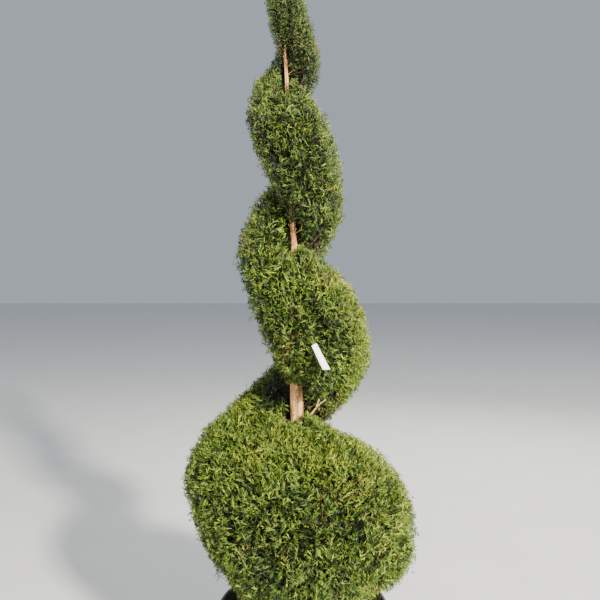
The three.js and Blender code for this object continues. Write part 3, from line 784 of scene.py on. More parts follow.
SHIFT_FADE = 60 * MM
NORMAL_STEP = 0.01
TRUNK_GAP = 1.5 * MM
FIRST_TURN = -0.6
LAST_TURN = 3.68


def curve_through(values, first, step, at):
    place = (np.asarray(at, dtype=float) - first) / step
    last = len(values) - 1
    inside = np.clip(place, 0, last)
    i = np.minimum(inside.astype(int), last - 1)
    u = inside - i
    slope_in = (values[i + 1] - values[np.maximum(i - 1, 0)]) / 2
    slope_out = (values[np.minimum(i + 2, last)] - values[i]) / 2
    rise = values[i + 1] - values[i]
    square = (3 * rise - 2 * slope_in - slope_out) * u ** 2
    between = values[i] + slope_in * u + square + (slope_in + slope_out - 2 * rise) * u ** 3
    before = (values[1] - values[0]) * np.minimum(place, 0)
    return between + before + (values[last] - values[last - 1]) * np.maximum(place - last, 0)


# %% Lobes and their skin
RIGHT = 0.25


def angle_at(turn):
    return (turn - RIGHT) * 2 * math.pi


def hump(turn, middle, spread):
    return np.exp(-(((turn - middle) / spread) ** 2))


def plateau(from_middle, spread):
    return np.exp(-((from_middle / spread) ** 4))


def at_nearest_front(values, turn):
    return values[np.clip(np.round(turn).astype(int) - 1, 0, len(values) - 1)]


def groove_height(turn):
    from_front = turn - np.round(turn)
    left = at_nearest_front(LEVEL_SPREADS_LEFT, turn)
    spread = np.where(from_front < 0, left, LEVEL_SPREAD_RIGHT)
    level_turn = turn - from_front * plateau(from_front, spread)
    return curve_through(GROOVE_HEIGHTS, 0, 0.25, level_turn)


def groove_half_width(turn, widenings):
    from_front = turn - np.round(turn)
    spread = np.where(from_front < 0, WINDOW_SPREAD_LEFT, WINDOW_SPREAD_RIGHT)
    window = at_nearest_front(widenings, turn) * plateau(from_front, spread)
    return curve_through(GROOVE_HALF_WIDTHS, 0, 0.5, np.clip(turn, 0, 4)) + window


def shoulder_dip(turn):
    from_dip = turn - np.round(turn) - DIP_FROM_FRONT
    return at_nearest_front(SHOULDER_DIPS, turn) * plateau(from_dip, DIP_SPREAD)


def groove_edges(turn):
    height = groove_height(turn)
    above = height + groove_half_width(turn, WINDOW_ABOVE)
    return above, height - groove_half_width(turn, WINDOW_BELOW) - shoulder_dip(turn)


def lobe(turn):
    top = np.minimum(groove_edges(turn)[1], CROWN_TOP)
    foot = CROWN_FOOT + FOOT_RISE * hump(turn, FOOT_RISE_TURN, FOOT_RISE_SPREAD)
    bottom = np.maximum(groove_edges(turn + 1)[0], foot)
    return top, bottom, curve_through(LOBE_REACHES, FIRST_REACH_TURN, 0.5, turn)


def fullness(turn):
    side = 0.5 + 0.5 * np.cos(2 * math.pi * (turn - FULL_TURN))
    least = np.where(turn > LEAST_FULL_FROM, LEAST_FULL, 0)
    return np.maximum(side, least) * (1 - hump(turn, HOLLOW_TURN, HOLLOW_SPREAD))


def belly(turn):
    return lerp(BELLY_LEFT, BELLY_RIGHT, 0.5 + 0.5 * np.cos(angle_at(turn)))


def swell(turn, u):
    full = fullness(turn)
    profile = [lerp(lean, fuller, full) for lean, fuller in zip(LEAN_PROFILE, FULL_PROFILE)]
    for slim_turn, slimmest in SLIM_PROFILES.items():
        slim = hump(turn, slim_turn, SLIM_SPREAD)
        profile = [lerp(value, slim_value, slim) for value, slim_value in zip(profile, slimmest)]
    power, root = profile
    inside = np.clip(u, 0, 1)
    middle = belly(turn)
    above = np.sqrt(np.maximum(1 - (1 - inside / middle) ** 2, 0))
    share = np.clip((inside - middle) / (1 - middle), 0, 1)
    below = np.maximum(1 - share ** power, 0) ** root
    return np.where(inside < middle, above, below)


def tip_limit(z):
    below = np.maximum(CROWN_TOP + TIP_ROUNDING - z, 0)
    taper = TIP_TAPER_RADIUS * (below / TIP_TAPER_HEIGHT) ** TIP_TAPER_POWER
    return np.where(below > 2 * TIP_TAPER_HEIGHT, UNLIMITED, taper)


def skin_point(turn, u, depth):
    top, bottom, reach = lobe(turn)
    z = lerp(top - SINK_AT_EDGES * depth, bottom + SINK_AT_EDGES * depth, u)
    inner = trunk_radius(z) + TRUNK_GAP
    swollen = inner + np.maximum(reach - depth - inner, 0) * swell(turn, u)
    return np.maximum(np.minimum(swollen, tip_limit(z) - SINK_AT_TIP * depth), inner), z


def place_at(turn, radius, z):
    angle = angle_at(turn)
    share = np.clip((radius - trunk_radius(z) - SHIFT_FROM) / SHIFT_FADE, 0, 1)
    out = radius + CROWN_SHIFT * share * np.cos(angle)
    return np.stack([trunk_lean(z) + out * np.cos(angle), out * np.sin(angle), z + 0 * out], axis=-1)


def skin_place(turn, u):
    return place_at(turn, *skin_point(turn, u, 0.0))


def skin_normal(turn, u):
    low, high = np.clip(u + NORMAL_STEP, 0, 1), np.clip(u - NORMAL_STEP, 0, 1)
    down = skin_place(turn, low) - skin_place(turn, high)
    around = skin_place(turn + NORMAL_STEP, u) - skin_place(turn - NORMAL_STEP, u)
    return unit(np.cross(down, around))


def shell_depth(turn):
    top, _, reach = lobe(turn)
    return np.minimum(SHELL_DEPTH, SHELL_SHARE * (reach - trunk_radius(top)))


# %% [markdown]
# ## The masses and their boughs
#
# Each third of a turn is one mass of foliage, carried by one bough that leaves the bare stem in
# the groove and climbs into it. The tip is one more mass, on the stem itself. A bough is a curve
# with a round section that thins towards its end. It is turned into a mesh, and two noises, a slow
# one to the side and a quick one to the front, make it crooked and rough.

# %% Masses
TURNS = 4
HALF_MASS = 1 / 6
MASSES = {"foliage_tip": (FIRST_TURN, -HALF_MASS)}
for mass_turn in range(1, TURNS + 1):
    for third, third_name in enumerate(("front", "right", "left")):
        mass_start = mass_turn - 1 - HALF_MASS + third / 3
        MASSES[f"foliage_{mass_turn}_{third_name}"] = (mass_start, mass_start + 1 / 3)
MASSES["foliage_4_left"] = (MASSES["foliage_4_left"][0], LAST_TURN)
print(len(MASSES), "masses,", sorted(MASSES) == sorted(FOLIAGE_NODES))

# %% Boughs
BOUGH_SHARE = 0.16
BOUGH_BENDS = 3
BOUGH_RISE = 10 * MM
LOWEST_BOUGH = SOIL_TOP + 28 * MM
BOUGH_SEARCH_STEP = 0.01
BOUGH_TIP_DROP = 8 * MM
BOUGH_SAG = 0.06
BOUGH_RADII = (3.2 * MM, 6.5 * MM)
STOUT_TURN = 3
BOUGH_TAPER = 0.65
BOUGH_ROUNDING = 4
BOUGH_STATIONS = 10
BOUGH_WAVES = ((25, 2.0 * MM), (160, 0.9 * MM))


def bough_points(turn):
    foot_z = max(float(groove_height(turn + 1)) + BOUGH_RISE, LOWEST_BOUGH)
    foot = np.array([float(trunk_lean(foot_z)), 0, foot_z])
    depth = float(shell_depth(turn))
    _, bottom, reach = lobe(turn)
    entry_radius = lerp(trunk_radius(bottom), reach, BOUGH_SHARE)
    u = 1.0
    while u > belly(turn) and skin_point(turn, u, depth)[0] < entry_radius:
        u -= BOUGH_SEARCH_STEP
    radius, z = skin_point(turn, u, depth)
    tip = place_at(turn, radius, z - BOUGH_TIP_DROP)
    share = np.linspace(0, 1, BOUGH_BENDS + 1)[:, None]
    points = foot + (tip - foot) * share
    points[:, 2] -= BOUGH_SAG * np.linalg.norm(tip - foot) * np.sin(share[:, 0] * math.pi)
    return points


def bough_radius(turn):
    return lerp(*BOUGH_RADII, min(max(turn / STOUT_TURN, 0), 1))


def make_bough(node, finish):
    begin()
    turn = sum(MASSES[node.replace("bough", "foliage")]) / 2
    points = bough_points(turn)
    curve = bpy.data.curves.new(node, "CURVE")
    curve.dimensions = "3D"
    curve.bevel_depth = bough_radius(turn)
    curve.bevel_resolution = BOUGH_ROUNDING
    curve.resolution_u = BOUGH_STATIONS
    curve.use_fill_caps = True
    spline = curve.splines.new("BEZIER")
    spline.bezier_points.add(len(points) - 1)
    for i, (knot, point) in enumerate(zip(spline.bezier_points, points)):
        knot.co = point
        knot.handle_left_type = knot.handle_right_type = "AUTO"
        knot.radius = lerp(1, BOUGH_TAPER, i / BOUGH_BENDS)
    bough = bpy.data.objects.new(node, curve)
    bpy.context.collection.objects.link(bough)
    only(bough)
    bpy.ops.object.convert(target="MESH")
    bough = bpy.context.active_object
    for axis, (scale, height) in enumerate(BOUGH_WAVES):
        moved = points_of(bough)
        moved[:, axis] += height * ripple(moved + 5 * axis, scale)
        move_points(bough, moved)
    outward(bough)
    smooth(below_degrees=60)
    hand_over(bough, node.replace("bough", "limb"), finish, [node])


for bough_node in BOUGH_NODES:
    make_bough(bough_node, STEM_BARK)

# %% [markdown]
# ## One spray
#
# The smallest unit of this foliage is a spray: a thin shoot with scale leaves pressed against it,
# forking again and again to both sides. Seen from a step away it is a bunch of narrow strands in
# V and Y shapes. Each strand here is a ribbon of three faces that widens and then comes to a
# point, and each is rolled about its own length, so that no side of a spray shows as an empty
# edge. A dozen different sprays are drawn once, as arrays of places and of corner numbers.

# %% Ribbons
STRAND_WIDTH = 0.088
RIBBON_STATIONS = ((0.0, 0.75), (0.6, 1.0))


def ribbon(start, direction, bend, length, roll):
    flat_side = np.array([direction[1], -direction[0], 0.0])
    flat_side /= max(np.linalg.norm(flat_side), TINY)
    side = math.cos(roll) * flat_side + math.sin(roll) * np.array([0.0, 0.0, 1.0])
    points = []
    for share, spread in RIBBON_STATIONS:
        middle = start + direction * length * share + bend * length * share ** 2
        half = side * STRAND_WIDTH * spread / 2
        points += [middle + half, middle - half]
    points.append(start + direction * length + bend * length)
    return np.array(points), np.array([(0, 1, 3), (0, 3, 2), (2, 3, 4)])


# %% Spray shapes
SPRAY_SEED = 500
SPRAY_KINDS = 12
SIDE_STRANDS = 4
MOST_CURL = 0.4
MIDDLE_ROLL = 0.8
SIDE_ROLL = 1.2
FIRST_FORK = 0.14
FORK_SPAN = 0.5
FORK_SCATTER = 0.06
FORK_DEGREES = (34, 72)
FORK_TWIST = 0.6
SIDE_LENGTH = 0.68
SIDE_SHORTENING = 0.42
SIDE_LENGTH_SPREAD = (0.75, 1.25)
SIDE_BEND_IN = 0.6
SIDE_BEND_UP = 0.25
SIDE_BEND_OUT = 0.5


def spray_shape(random):
    def either_way(most):
        return random.uniform(-most, most)

    curl = np.array([either_way(MOST_CURL), 0, either_way(MOST_CURL)])
    up = np.array([0.0, 1.0, 0.0])
    strands = [ribbon(0 * up, up, curl, 1.0, either_way(MIDDLE_ROLL))]
    for i in range(SIDE_STRANDS):
        share = FIRST_FORK + FORK_SPAN * i / (SIDE_STRANDS - 1) + either_way(FORK_SCATTER)
        side = 1 if i % 2 else -1
        angle = math.radians(random.uniform(*FORK_DEGREES))
        out = unit(np.array([side * math.sin(angle), math.cos(angle), either_way(FORK_TWIST)]))
        length = (SIDE_LENGTH - SIDE_SHORTENING * share) * random.uniform(*SIDE_LENGTH_SPREAD)
        bend = np.array([-side * SIDE_BEND_IN, SIDE_BEND_UP, either_way(SIDE_BEND_OUT)])
        start = share * up + curl * share ** 2
        strands.append(ribbon(start, out, bend, length, either_way(SIDE_ROLL)))
    return stacked(strands)


SPRAY_SHAPES = [spray_shape(np.random.default_rng(SPRAY_SEED + i)) for i in range(SPRAY_KINDS)]
print("faces in a spray", [len(faces) for _, faces in SPRAY_SHAPES][:3])

# %% [markdown]
# ## Where the sprays grow
#
# The rule is the exact model's own: sites stand in even rows over the skin of a mass, each spray
# heads out along the skin's normal, lifted towards the light and turned astray, and a spray that
# would leave the space of its mass is left out. Here the rows are much closer, in three layers.
# The deepest are long and dark, the outermost short and bright, and their tips are what the
# shears leave as the outline. The darker greens of the deeper layers are painted shade.
# Neighbours lean the same way in clumps, and in places the sprays sink, which opens the small
# dark gaps of real foliage, and the sunk sprays are dealt darker greens as painted shade. Near
# the stem, where the rows crowd together, some sites are dropped.

# %% Layers of sprays
LAYERS = {
    "deep": {"pitch": 28 * MM, "depth": (22 * MM, 38 * MM), "length": (36 * MM, 50 * MM)},
    "middle": {"pitch": 15.2 * MM, "depth": (8 * MM, 24 * MM), "length": (24 * MM, 38 * MM)},
    "outer": {"pitch": 10.3 * MM, "depth": (-6 * MM, 9 * MM), "length": (17 * MM, 31 * MM)},
}
LIFT = 0.3
WANDER = 1.9
CLUMP_WANDER = 1.0
CLUMP_DEPTH = 34 * MM
SHADED_DEPTH = 30 * MM
FOOT_SPRAYS = 45 * MM
EDGE_GAP = 3 * MM
WINDOW_SIDE = 2 * MM
FRONTS = (1.0, 2.0, 3.0)
FULL_SPACING_REACH = 160 * MM
CLOSEST_SPACING = 0.72
SKIN_STATIONS = 121
ROW_START = (0.1, 0.9)
STEP_SCATTER = 0.4
CROWDED_WITHIN = 0.85
CROWDED_KEEP = 1.3
LEAST_KEPT = 0.6


def rows_of_sites(start, end, pitch, random):
    _, _, reach = lobe((start + end) / 2)
    spacing = pitch * np.clip(reach / FULL_SPACING_REACH, CLOSEST_SPACING, 1)
    rows = int(round((end - start) * 2 * math.pi * reach / spacing))
    shares = np.linspace(0, 1, SKIN_STATIONS)
    turns, places = [], []
    for row in range(rows):
        turn = lerp(start, end, (row + random.uniform(*ROW_START)) / rows)
        radius, z = skin_point(turn, shares, 0.0)
        walked = np.concatenate([[0], np.cumsum(np.hypot(np.diff(radius), np.diff(z)))])
        steps = np.arange(spacing * random.uniform(*ROW_START), walked[-1], spacing)
        steps = steps + random.uniform(-STEP_SCATTER, STEP_SCATTER, len(steps)) * spacing
        u = np.interp(steps, walked, shares)
        crowding = np.interp(u, shares, radius) / (CROWDED_WITHIN * reach)
        kept = random.uniform(0, 1, len(u)) < np.clip(CROWDED_KEEP * crowding, LEAST_KEPT, 1)
        turns.append(np.full(kept.sum(), turn))
        places.append(u[kept])
    return np.concatenate(turns), np.concatenate(places)


def in_window(points):
    x, y, z = points.T
    before_stem = (y < 0) & (np.abs(x - trunk_lean(z)) < trunk_radius(z) + WINDOW_SIDE)
    found = np.zeros(len(points), dtype=bool)
    for front in FRONTS:
        above, below = groove_edges(np.array(front))
        found |= (z > below) & (z < above)
    return found & before_stem


def within_space(turn, points):
    x, y, z = points.T
    from_lean = x - trunk_lean(z)
    angle_turn = np.arctan2(y, from_lean) / (2 * math.pi) + RIGHT
    own_turn = angle_turn + np.round(turn - angle_turn)
    clear = np.hypot(from_lean, y) > trunk_radius(z) + EDGE_GAP
    clear &= z < groove_height(own_turn) - EDGE_GAP
    clear &= z > groove_height(own_turn + 1) + EDGE_GAP
    return clear & (z > POT_HEIGHT + EDGE_GAP) & ~in_window(points)


# %% One layer of a mass
FULL_SIZE_REACH = 170 * MM
SMALLEST = 0.5
CLUMP_SCALE = 19
CLUMP_SHIFTS = (0, 3, 6)
OVERHANG = -0.3
FOOT_LIFT = 0.1
GAP_SCALE = 24
CRACK_SCALE = 55
CRACK_SHARE = 0.5
MOST_RAISED = -0.1
FACING_SCATTER = 2.2


def grow_layer(start, end, layer, random):
    turn, u = rows_of_sites(start, end, layer["pitch"], random)
    count = len(turn)
    small = np.clip(lobe(turn)[2] / FULL_SIZE_REACH, SMALLEST, 1)
    normal = skin_normal(turn, u)
    site = skin_place(turn, u)
    clump = np.column_stack([ripple(site + shift, CLUMP_SCALE) for shift in CLUMP_SHIFTS])
    wander = WANDER * random.uniform(-0.5, 0.5, (count, 3)) + CLUMP_WANDER * clump
    ahead = normal + wander
    ahead[:, 2] += np.where(normal[:, 2] < OVERHANG, 0.0, LIFT)
    by_foot = site[:, 2] < CROWN_FOOT + FOOT_SPRAYS
    ahead[by_foot, 2] = np.maximum(ahead[by_foot, 2], FOOT_LIFT)
    ahead = unit(ahead)
    hollow = -ripple(site + 9, GAP_SCALE) - CRACK_SHARE * ripple(site + 12, CRACK_SCALE)
    hollow = np.clip(hollow, MOST_RAISED, 1)
    depth = (random.uniform(*layer["depth"], count) + CLUMP_DEPTH * hollow) * small
    # How far a spray is sunk, as a share; it later darkens the spray's green as painted shade.
    sunk = np.clip(depth / SHADED_DEPTH, 0, 1)
    tip = site - normal * depth[:, None]
    length = random.uniform(*layer["length"], count) * small
    root = tip - ahead * length[:, None]
    facing = unit(normal + FACING_SCATTER * random.uniform(-0.5, 0.5, (count, 3)))
    across = unit(np.cross(ahead, facing))
    kept = within_space(turn, tip) & within_space(turn, root + (tip - root) * 0.5)
    arrays = {"root": root, "tip": tip, "ahead": ahead, "across": across, "normal": normal,
              "length": length, "turn": turn, "sunk": sunk}
    return {key: values[kept] for key, values in arrays.items()}


# %% Grow every mass
LAYER_SEED = 1000
GROWN = {}
for mass_number, (mass_name, (mass_start, mass_end)) in enumerate(MASSES.items()):
    for layer_number, (layer_name, layer_values) in enumerate(LAYERS.items()):
        seeded = np.random.default_rng(LAYER_SEED + 10 * mass_number + layer_number)
        GROWN[mass_name, layer_name] = grow_layer(mass_start, mass_end, layer_values, seeded)
print("sprays", {layer: sum(len(GROWN[mass, layer]["turn"]) for mass in MASSES) for layer in LAYERS})

# %% [markdown]
# ## Shades of green
#
# No two sprays have the same green. The tips outside are yellow-green and the sprays inside deep
# green, which is partly their own colour and partly painted light and painted shade, and here
# and there a patch has turned olive or a spray has died back to brown. A colour that has a place
# is dealt out spray by spray, so each shade is a mesh or a few with one finish, mottled finely
# between a darker and a lighter tone. Slow noise through the crown makes neighbours alike.
#
# The level of a spray counts up from the innermost green to the yellow-green, and much of it is
# painted light and painted shade. It starts lower in the deeper layers, as painted shade, and
# rises with how far the skin faces up and to the right, where the light comes from, as painted
# light. It falls where a spray is sunk, as painted shade in the hollows, and falls much further
# where a spray is shut in beside the stem on the side away from the sun, as a painted shadow in
# the groove. It also falls high up, where some sprays turn grey-green, and the old wood near the
# stem carries more dry ones.

# %% Leaf finishes
SHADES = {
    "inner_green": (0.0094, 0.017, 0.0045),
    "shade_green": (0.0207, 0.04, 0.0078),
    "dark_green": (0.0489, 0.09, 0.0112),
    "leaf_green": (0.1034, 0.165, 0.0157),
    "fresh_green": (0.1739, 0.245, 0.0224),
    "yellow_green": (0.2726, 0.32, 0.0291),
    "grey_green": (0.1081, 0.128, 0.0448),
    "olive_green": (0.188, 0.165, 0.0381),
    "dead_brown": (0.240, 0.130, 0.045),
}
SHADE_NAMES = list(SHADES)
DARKER = 0.4
LIGHTER = 1.6


def leaf_finish(name, colour):
    finish = Finish(name, roughness=0.6, specular=0.35)
    mottle = finish.spread(finish.grain(230.0, detail=1.0), low=0.35, high=0.65)
    darker = tuple(DARKER * part for part in colour) + (1,)
    lighter = tuple(LIGHTER * part for part in colour) + (1,)
    finish.colour(finish.blend(mottle, darker, lighter))
    finish.bump(finish.grain(700.0, detail=1.0), strength=0.3, distance=0.6 * MM)
    return finish


# %% Deal out the shades
# Each layer starts at its own level; the deeper layers start lower, as painted shade.
LAYER_LEVELS = {"deep": 0.5, "middle": 1.65, "outer": 3.05}
# Sunk sprays are dealt darker greens: painted shade in the hollows.
SUNK_SHADE = 1.5
# Sprays whose skin faces this way, up and to the right towards the key lamp, are dealt lighter greens and
# those facing away darker ones: painted light and shade.
TOWARDS_LIGHT = np.array([0.6, -0.1, 0.8])
LEVEL_SCATTER = 0.9
PATCHINESS = 1.3
PATCH_SCALE = 6.5
SPOT_SCALE = 17
SPOT_SHARE = 0.5
HIGH_FROM = 1.2
HIGH_SPAN = 1.1
# How far the level falls high up on the crown, where the sprays are dealt darker greens.
HIGH_DARKENING = 0.5
GREYED_SHARE = 0.6
# Sprays shut in beside the stem on the side away from this sun side are dealt much darker greens: a
# painted shadow in the groove.
SUN_SIDE = np.array([0.2, -0.98])
SHUT_IN_SHARE = 0.45
SHUT_IN_SHADE = 5.0
SHUT_IN_REACH = 180 * MM
SHUT_IN_FADE = 60 * MM
FAR_SIDE_START = -0.1
FAR_SIDE_RISE = 1.5
DRY_SCALE = 8
DRY_SCATTER = 0.35
DRY_LESS_HIGH = 0.2
DRY_BELOW = 0.3
DRY_BY_STEM = 0.9
DRY_DISTANCE = 30 * MM
DRY_REACH = 130 * MM
DRY_FADE = 80 * MM
OLIVE_FROM = 0.85
BROWN_FROM = 1.25


def grows_in(reach, first, fade):
    return np.clip((reach - first) / fade, 0, 1)


def shut_in_by_stem(from_stem, away, reach):
    to_sun = from_stem @ SUN_SIDE / away
    near = np.clip(2 - 2 * away / (SHUT_IN_SHARE * reach), 0, 1)
    return near * np.clip(FAR_SIDE_START - FAR_SIDE_RISE * to_sun, 0, 1)


def shade_numbers(sprays, layer, random):
    tip, normal = sprays["tip"], sprays["normal"]
    count, z = len(tip), tip[:, 2]
    height = np.clip((z - HIGH_FROM) / HIGH_SPAN, 0, 1) ** 2
    patch = ripple(tip, PATCH_SCALE) + SPOT_SHARE * ripple(tip, SPOT_SCALE)
    # The level starts from the layer, deeper ones lower as painted shade, falls for sunk sprays as
    # painted shade and falls high up, rises for sprays facing the light as painted light, and scatters in
    # patches and at random.
    level = LAYER_LEVELS[layer] - SUNK_SHADE * sprays["sunk"] - HIGH_DARKENING * height
    level = level + normal @ TOWARDS_LIGHT + PATCHINESS * patch + random.normal(0, LEVEL_SCATTER, count)
    reach = lobe(sprays["turn"])[2]
    from_stem = tip[:, :2] - np.column_stack([trunk_lean(z), 0 * reach])
    away = np.hypot(*from_stem.T)
    shut_in = shut_in_by_stem(from_stem, away, reach)
    # Painted shadow: shut-in sprays on the far side of the stem from the sun get much darker greens.
    level -= SHUT_IN_SHADE * shut_in * grows_in(reach, SHUT_IN_REACH, SHUT_IN_FADE)
    numbers = np.clip(np.round(level), 0, 5).astype(int)
    dry = ripple(tip + 7, DRY_SCALE) - DRY_LESS_HIGH * height + random.normal(0, DRY_SCATTER, count)
    # Shut-in sprays are kept from turning olive or brown, so their painted shadow stays dark.
    dry += DRY_BELOW * np.clip(-normal[:, 2], 0, 1) - shut_in
    nearness = np.exp(-np.maximum(away - trunk_radius(z), 0) / DRY_DISTANCE)
    dry += DRY_BY_STEM * nearness * grows_in(reach, DRY_REACH, DRY_FADE)
    greyed = random.uniform(0, 1, count) < GREYED_SHARE * height
    numbers[greyed & (numbers > 2)] = SHADE_NAMES.index("grey_green")
    numbers[dry > OLIVE_FROM] = SHADE_NAMES.index("olive_green")
    numbers[dry > BROWN_FROM] = SHADE_NAMES.index("dead_brown")
    return numbers


# %% Build the sprays
SHADE_SEED = 3000
MOST_FACES = 190000


def spray_mesh(sprays):
    pieces = []
    for number, (shape_points, shape_faces) in enumerate(SPRAY_SHAPES):
        chosen = sprays["shape"] == number
        root, ahead, across = (sprays[key][chosen] for key in ("root", "ahead", "across"))
        length = sprays["length"][chosen][:, None, None]
        flat = np.cross(ahead, across)
        local = (shape_points[None, :, 0:1] * across[:, None]
                 + shape_points[None, :, 1:2] * ahead[:, None]
                 + shape_points[None, :, 2:3] * flat[:, None])
        firsts = np.arange(len(root)) * len(shape_points)
        pieces.append(((root[:, None] + local * length).reshape(-1, 3),
                       (shape_faces[None] + firsts[:, None, None]).reshape(-1, 3)))
    return stacked(pieces)


def all_sprays():
    parts = []
    for (_, layer), sprays in GROWN.items():
        seeded = np.random.default_rng(len(parts) + SHADE_SEED)
        sprays = dict(sprays, shade=shade_numbers(sprays, layer, seeded))
        sprays["shape"] = seeded.integers(0, len(SPRAY_SHAPES), len(sprays["turn"]))
        parts.append(sprays)
    return {key: np.concatenate([part[key] for part in parts]) for key in parts[0]}


SPRAYS = all_sprays()
SPRAY_FACES = len(SPRAY_SHAPES[0][1])
for shade_number, (shade_name, shade_colour) in enumerate(SHADES.items()):
    leaf = leaf_finish(shade_name, shade_colour)
    members = np.flatnonzero(SPRAYS["shade"] == shade_number)
    batches = max(1, math.ceil(len(members) * SPRAY_FACES / MOST_FACES))
    for batch_number, batch in enumerate(np.array_split(members, batches)):
        chosen_sprays = {key: values[batch] for key, values in SPRAYS.items()}
        piece_name = f"sprays_{shade_name}_{batch_number + 1}"
        leaves = joined(piece_name, *spray_mesh(chosen_sprays))
        hand_over(leaves, piece_name, leaf, FOLIAGE_NODES)

# %% [markdown]
# ## Twigs
#
# Under the green the plant is bare wood: each mass has a stem that carries on from its bough,
# twigs that fan out from it and from the trunk, and finer twigs that end in the sprays. They show
# where the shears have opened a groove. All of them are thin tapering tubes with three sides, in
# two joined meshes, one of the twigs and one of the finer ones.

# %% Tubes
TWIG_BEND = 0.14
NEARLY_UPRIGHT = 0.9


def tubes(lines, first_radius, last_radius, sides=3):
    count, stations, _ = lines.shape
    along = unit(lines[:, -1] - lines[:, 0])
    upright = np.abs(along[:, 2:3]) > NEARLY_UPRIGHT
    helper = np.where(upright, np.array([[1.0, 0, 0]]), np.array([[0, 0, 1.0]]))
    across = unit(np.cross(helper, along))
    flat = np.cross(along, across)
    share = np.linspace(0, 1, stations)[None, :]
    radius = lerp(first_radius[:, None], last_radius[:, None], share)[..., None, None]
    angles = np.arange(sides) * 2 * math.pi / sides
    cosine, sine = np.cos(angles)[None, :, None], np.sin(angles)[None, :, None]
    ring = cosine * across[:, None] + sine * flat[:, None]
    points = lines[:, :, None, :] + radius * ring[:, None]
    faces = []
    for i in range(stations - 1):
        for j in range(sides):
            a, b = sides * i + j, sides * i + (j + 1) % sides
            faces += [(a, b, b + sides), (a, b + sides, a + sides)]
    last = sides * (stations - 1)
    for j in range(1, sides - 1):
        faces += [(last, last + j, last + j + 1), (0, j + 1, j)]
    faces = np.array(faces)[None] + (np.arange(count) * sides * stations)[:, None, None]
    return points.reshape(-1, 3), faces.reshape(-1, 3)


def bent(starts, ends, stations, sag, random):
    share = np.linspace(0, 1, stations)[None, :, None]
    lines = starts[:, None] + (ends - starts)[:, None] * share
    length = np.linalg.norm(ends - starts, axis=1)[:, None, None]
    sideways = random.normal(0, 0.5, (len(starts), 1, 3)) * TWIG_BEND
    return lines + np.sin(share * math.pi) * length * (sideways + np.array([0, 0, -sag]))


# %% Grow the twigs
TWIG_SEED = 4000
CLUSTER = 51
FEWEST_TWIGS = 6
TWIG_MARGIN = 22 * MM
MASS_STEM_LENGTH = 70 * MM
TIP_STEM_SHARE = 0.35
TIP_STEM_REACH = 0.6
TIP_STEM_RISE = 30 * MM
FROM_TRUNK = 0.65
TWIG_DROP = 0.1
TWIG_FLOOR = 25 * MM
TWIG_CEILING = 10 * MM
JOINT_SHARE = (0.6, 0.9)
TWIG_PART = (0.1, 1)
TWIG_STATIONS = 5
TWIG_SAG = 0.05
TWIG_FOOT_IN_MM = (1.1, 1.9)
TWIG_END_IN_MM = (0.7, 1.0)
FINE_SHARE = 0.14
FINE_STATIONS = 3
FINE_SAG = 0.02
FINE_FOOT_IN_MM = (0.8, 1.1)
FINE_END_RADIUS = 0.45 * MM
INTO_SPRAY = 0.3
INSIDE_LOBE = (0.02, 0.98)


def mass_stem(name):
    turn = sum(MASSES[name]) / 2
    if name == "foliage_tip":
        top, bottom, reach = lobe(turn)
        z = lerp(bottom, top, TIP_STEM_SHARE)
        end = place_at(turn, TIP_STEM_REACH * reach, z + TIP_STEM_RISE)
        return place_at(turn, trunk_radius(z), z), end
    points = bough_points(turn)
    return points[-1], points[-1] + unit(points[-1] - points[-2]) * MASS_STEM_LENGTH


def pulled_inside(lines, turn):
    lean = trunk_lean(lines[..., 2])
    away = np.hypot(lines[..., 0] - lean, lines[..., 1])
    top, bottom, _ = lobe(turn)
    u = np.clip((top - lines[..., 2]) / (top - bottom), *INSIDE_LOBE)
    limit = np.maximum(skin_point(turn, u, 0.0)[0] - TWIG_MARGIN, trunk_radius(lines[..., 2]))
    share = np.minimum(limit / np.maximum(away, TINY), 1)
    lines[..., 0] = lean + (lines[..., 0] - lean) * share
    lines[..., 1] *= share
    return lines


def mass_twigs(name, random):
    turn = sum(MASSES[name]) / 2
    roots, ahead, length = (np.concatenate([GROWN[name, layer][key] for layer in LAYERS])
                            for key in ("root", "ahead", "length"))
    foot, tip = mass_stem(name)
    heads = random.choice(len(roots), max(FEWEST_TWIGS, len(roots) // CLUSTER), replace=False)
    count = len(heads)
    from_stem = foot + (tip - foot) * random.uniform(*TWIG_PART, count)[:, None]
    top, bottom, _ = lobe(turn)
    z = roots[heads][:, 2] - random.uniform(0.0, TWIG_DROP, count)
    z = np.clip(z, bottom + TWIG_FLOOR, top - TWIG_CEILING)
    from_trunk = np.column_stack([trunk_lean(z), 0 * z, z])
    near_trunk = random.uniform(0, 1, count) < FROM_TRUNK
    starts = np.where(near_trunk[:, None], from_trunk, from_stem)
    joints = starts + (roots[heads] - starts) * random.uniform(*JOINT_SHARE, count)[:, None]
    branches = pulled_inside(bent(starts, joints, TWIG_STATIONS, TWIG_SAG, random), turn)
    joints = branches[:, -1]
    foot_radii = random.uniform(*TWIG_FOOT_IN_MM, count) * MM
    main = tubes(branches, foot_radii, random.uniform(*TWIG_END_IN_MM, count) * MM)
    nearest = np.argmin(np.linalg.norm(roots[:, None] - joints[None], axis=2), axis=1)
    chosen = np.flatnonzero(random.uniform(0, 1, len(roots)) < FINE_SHARE)
    ends = roots[chosen] + ahead[chosen] * INTO_SPRAY * length[chosen][:, None]
    lines = bent(joints[nearest[chosen]], ends, FINE_STATIONS, FINE_SAG, random)
    foot_radii = random.uniform(*FINE_FOOT_IN_MM, len(chosen)) * MM
    return main, tubes(lines, foot_radii, np.full(len(chosen), FINE_END_RADIUS))


def make_twigs(finish):
    grown = [mass_twigs(name, np.random.default_rng(TWIG_SEED + i)) for i, name in enumerate(MASSES)]
    for piece_name, pieces in zip(("twigs", "fine_twigs"), zip(*grown)):
        twigs = joined(piece_name, *stacked(pieces))
        hand_over(twigs, piece_name, finish, FOLIAGE_NODES)


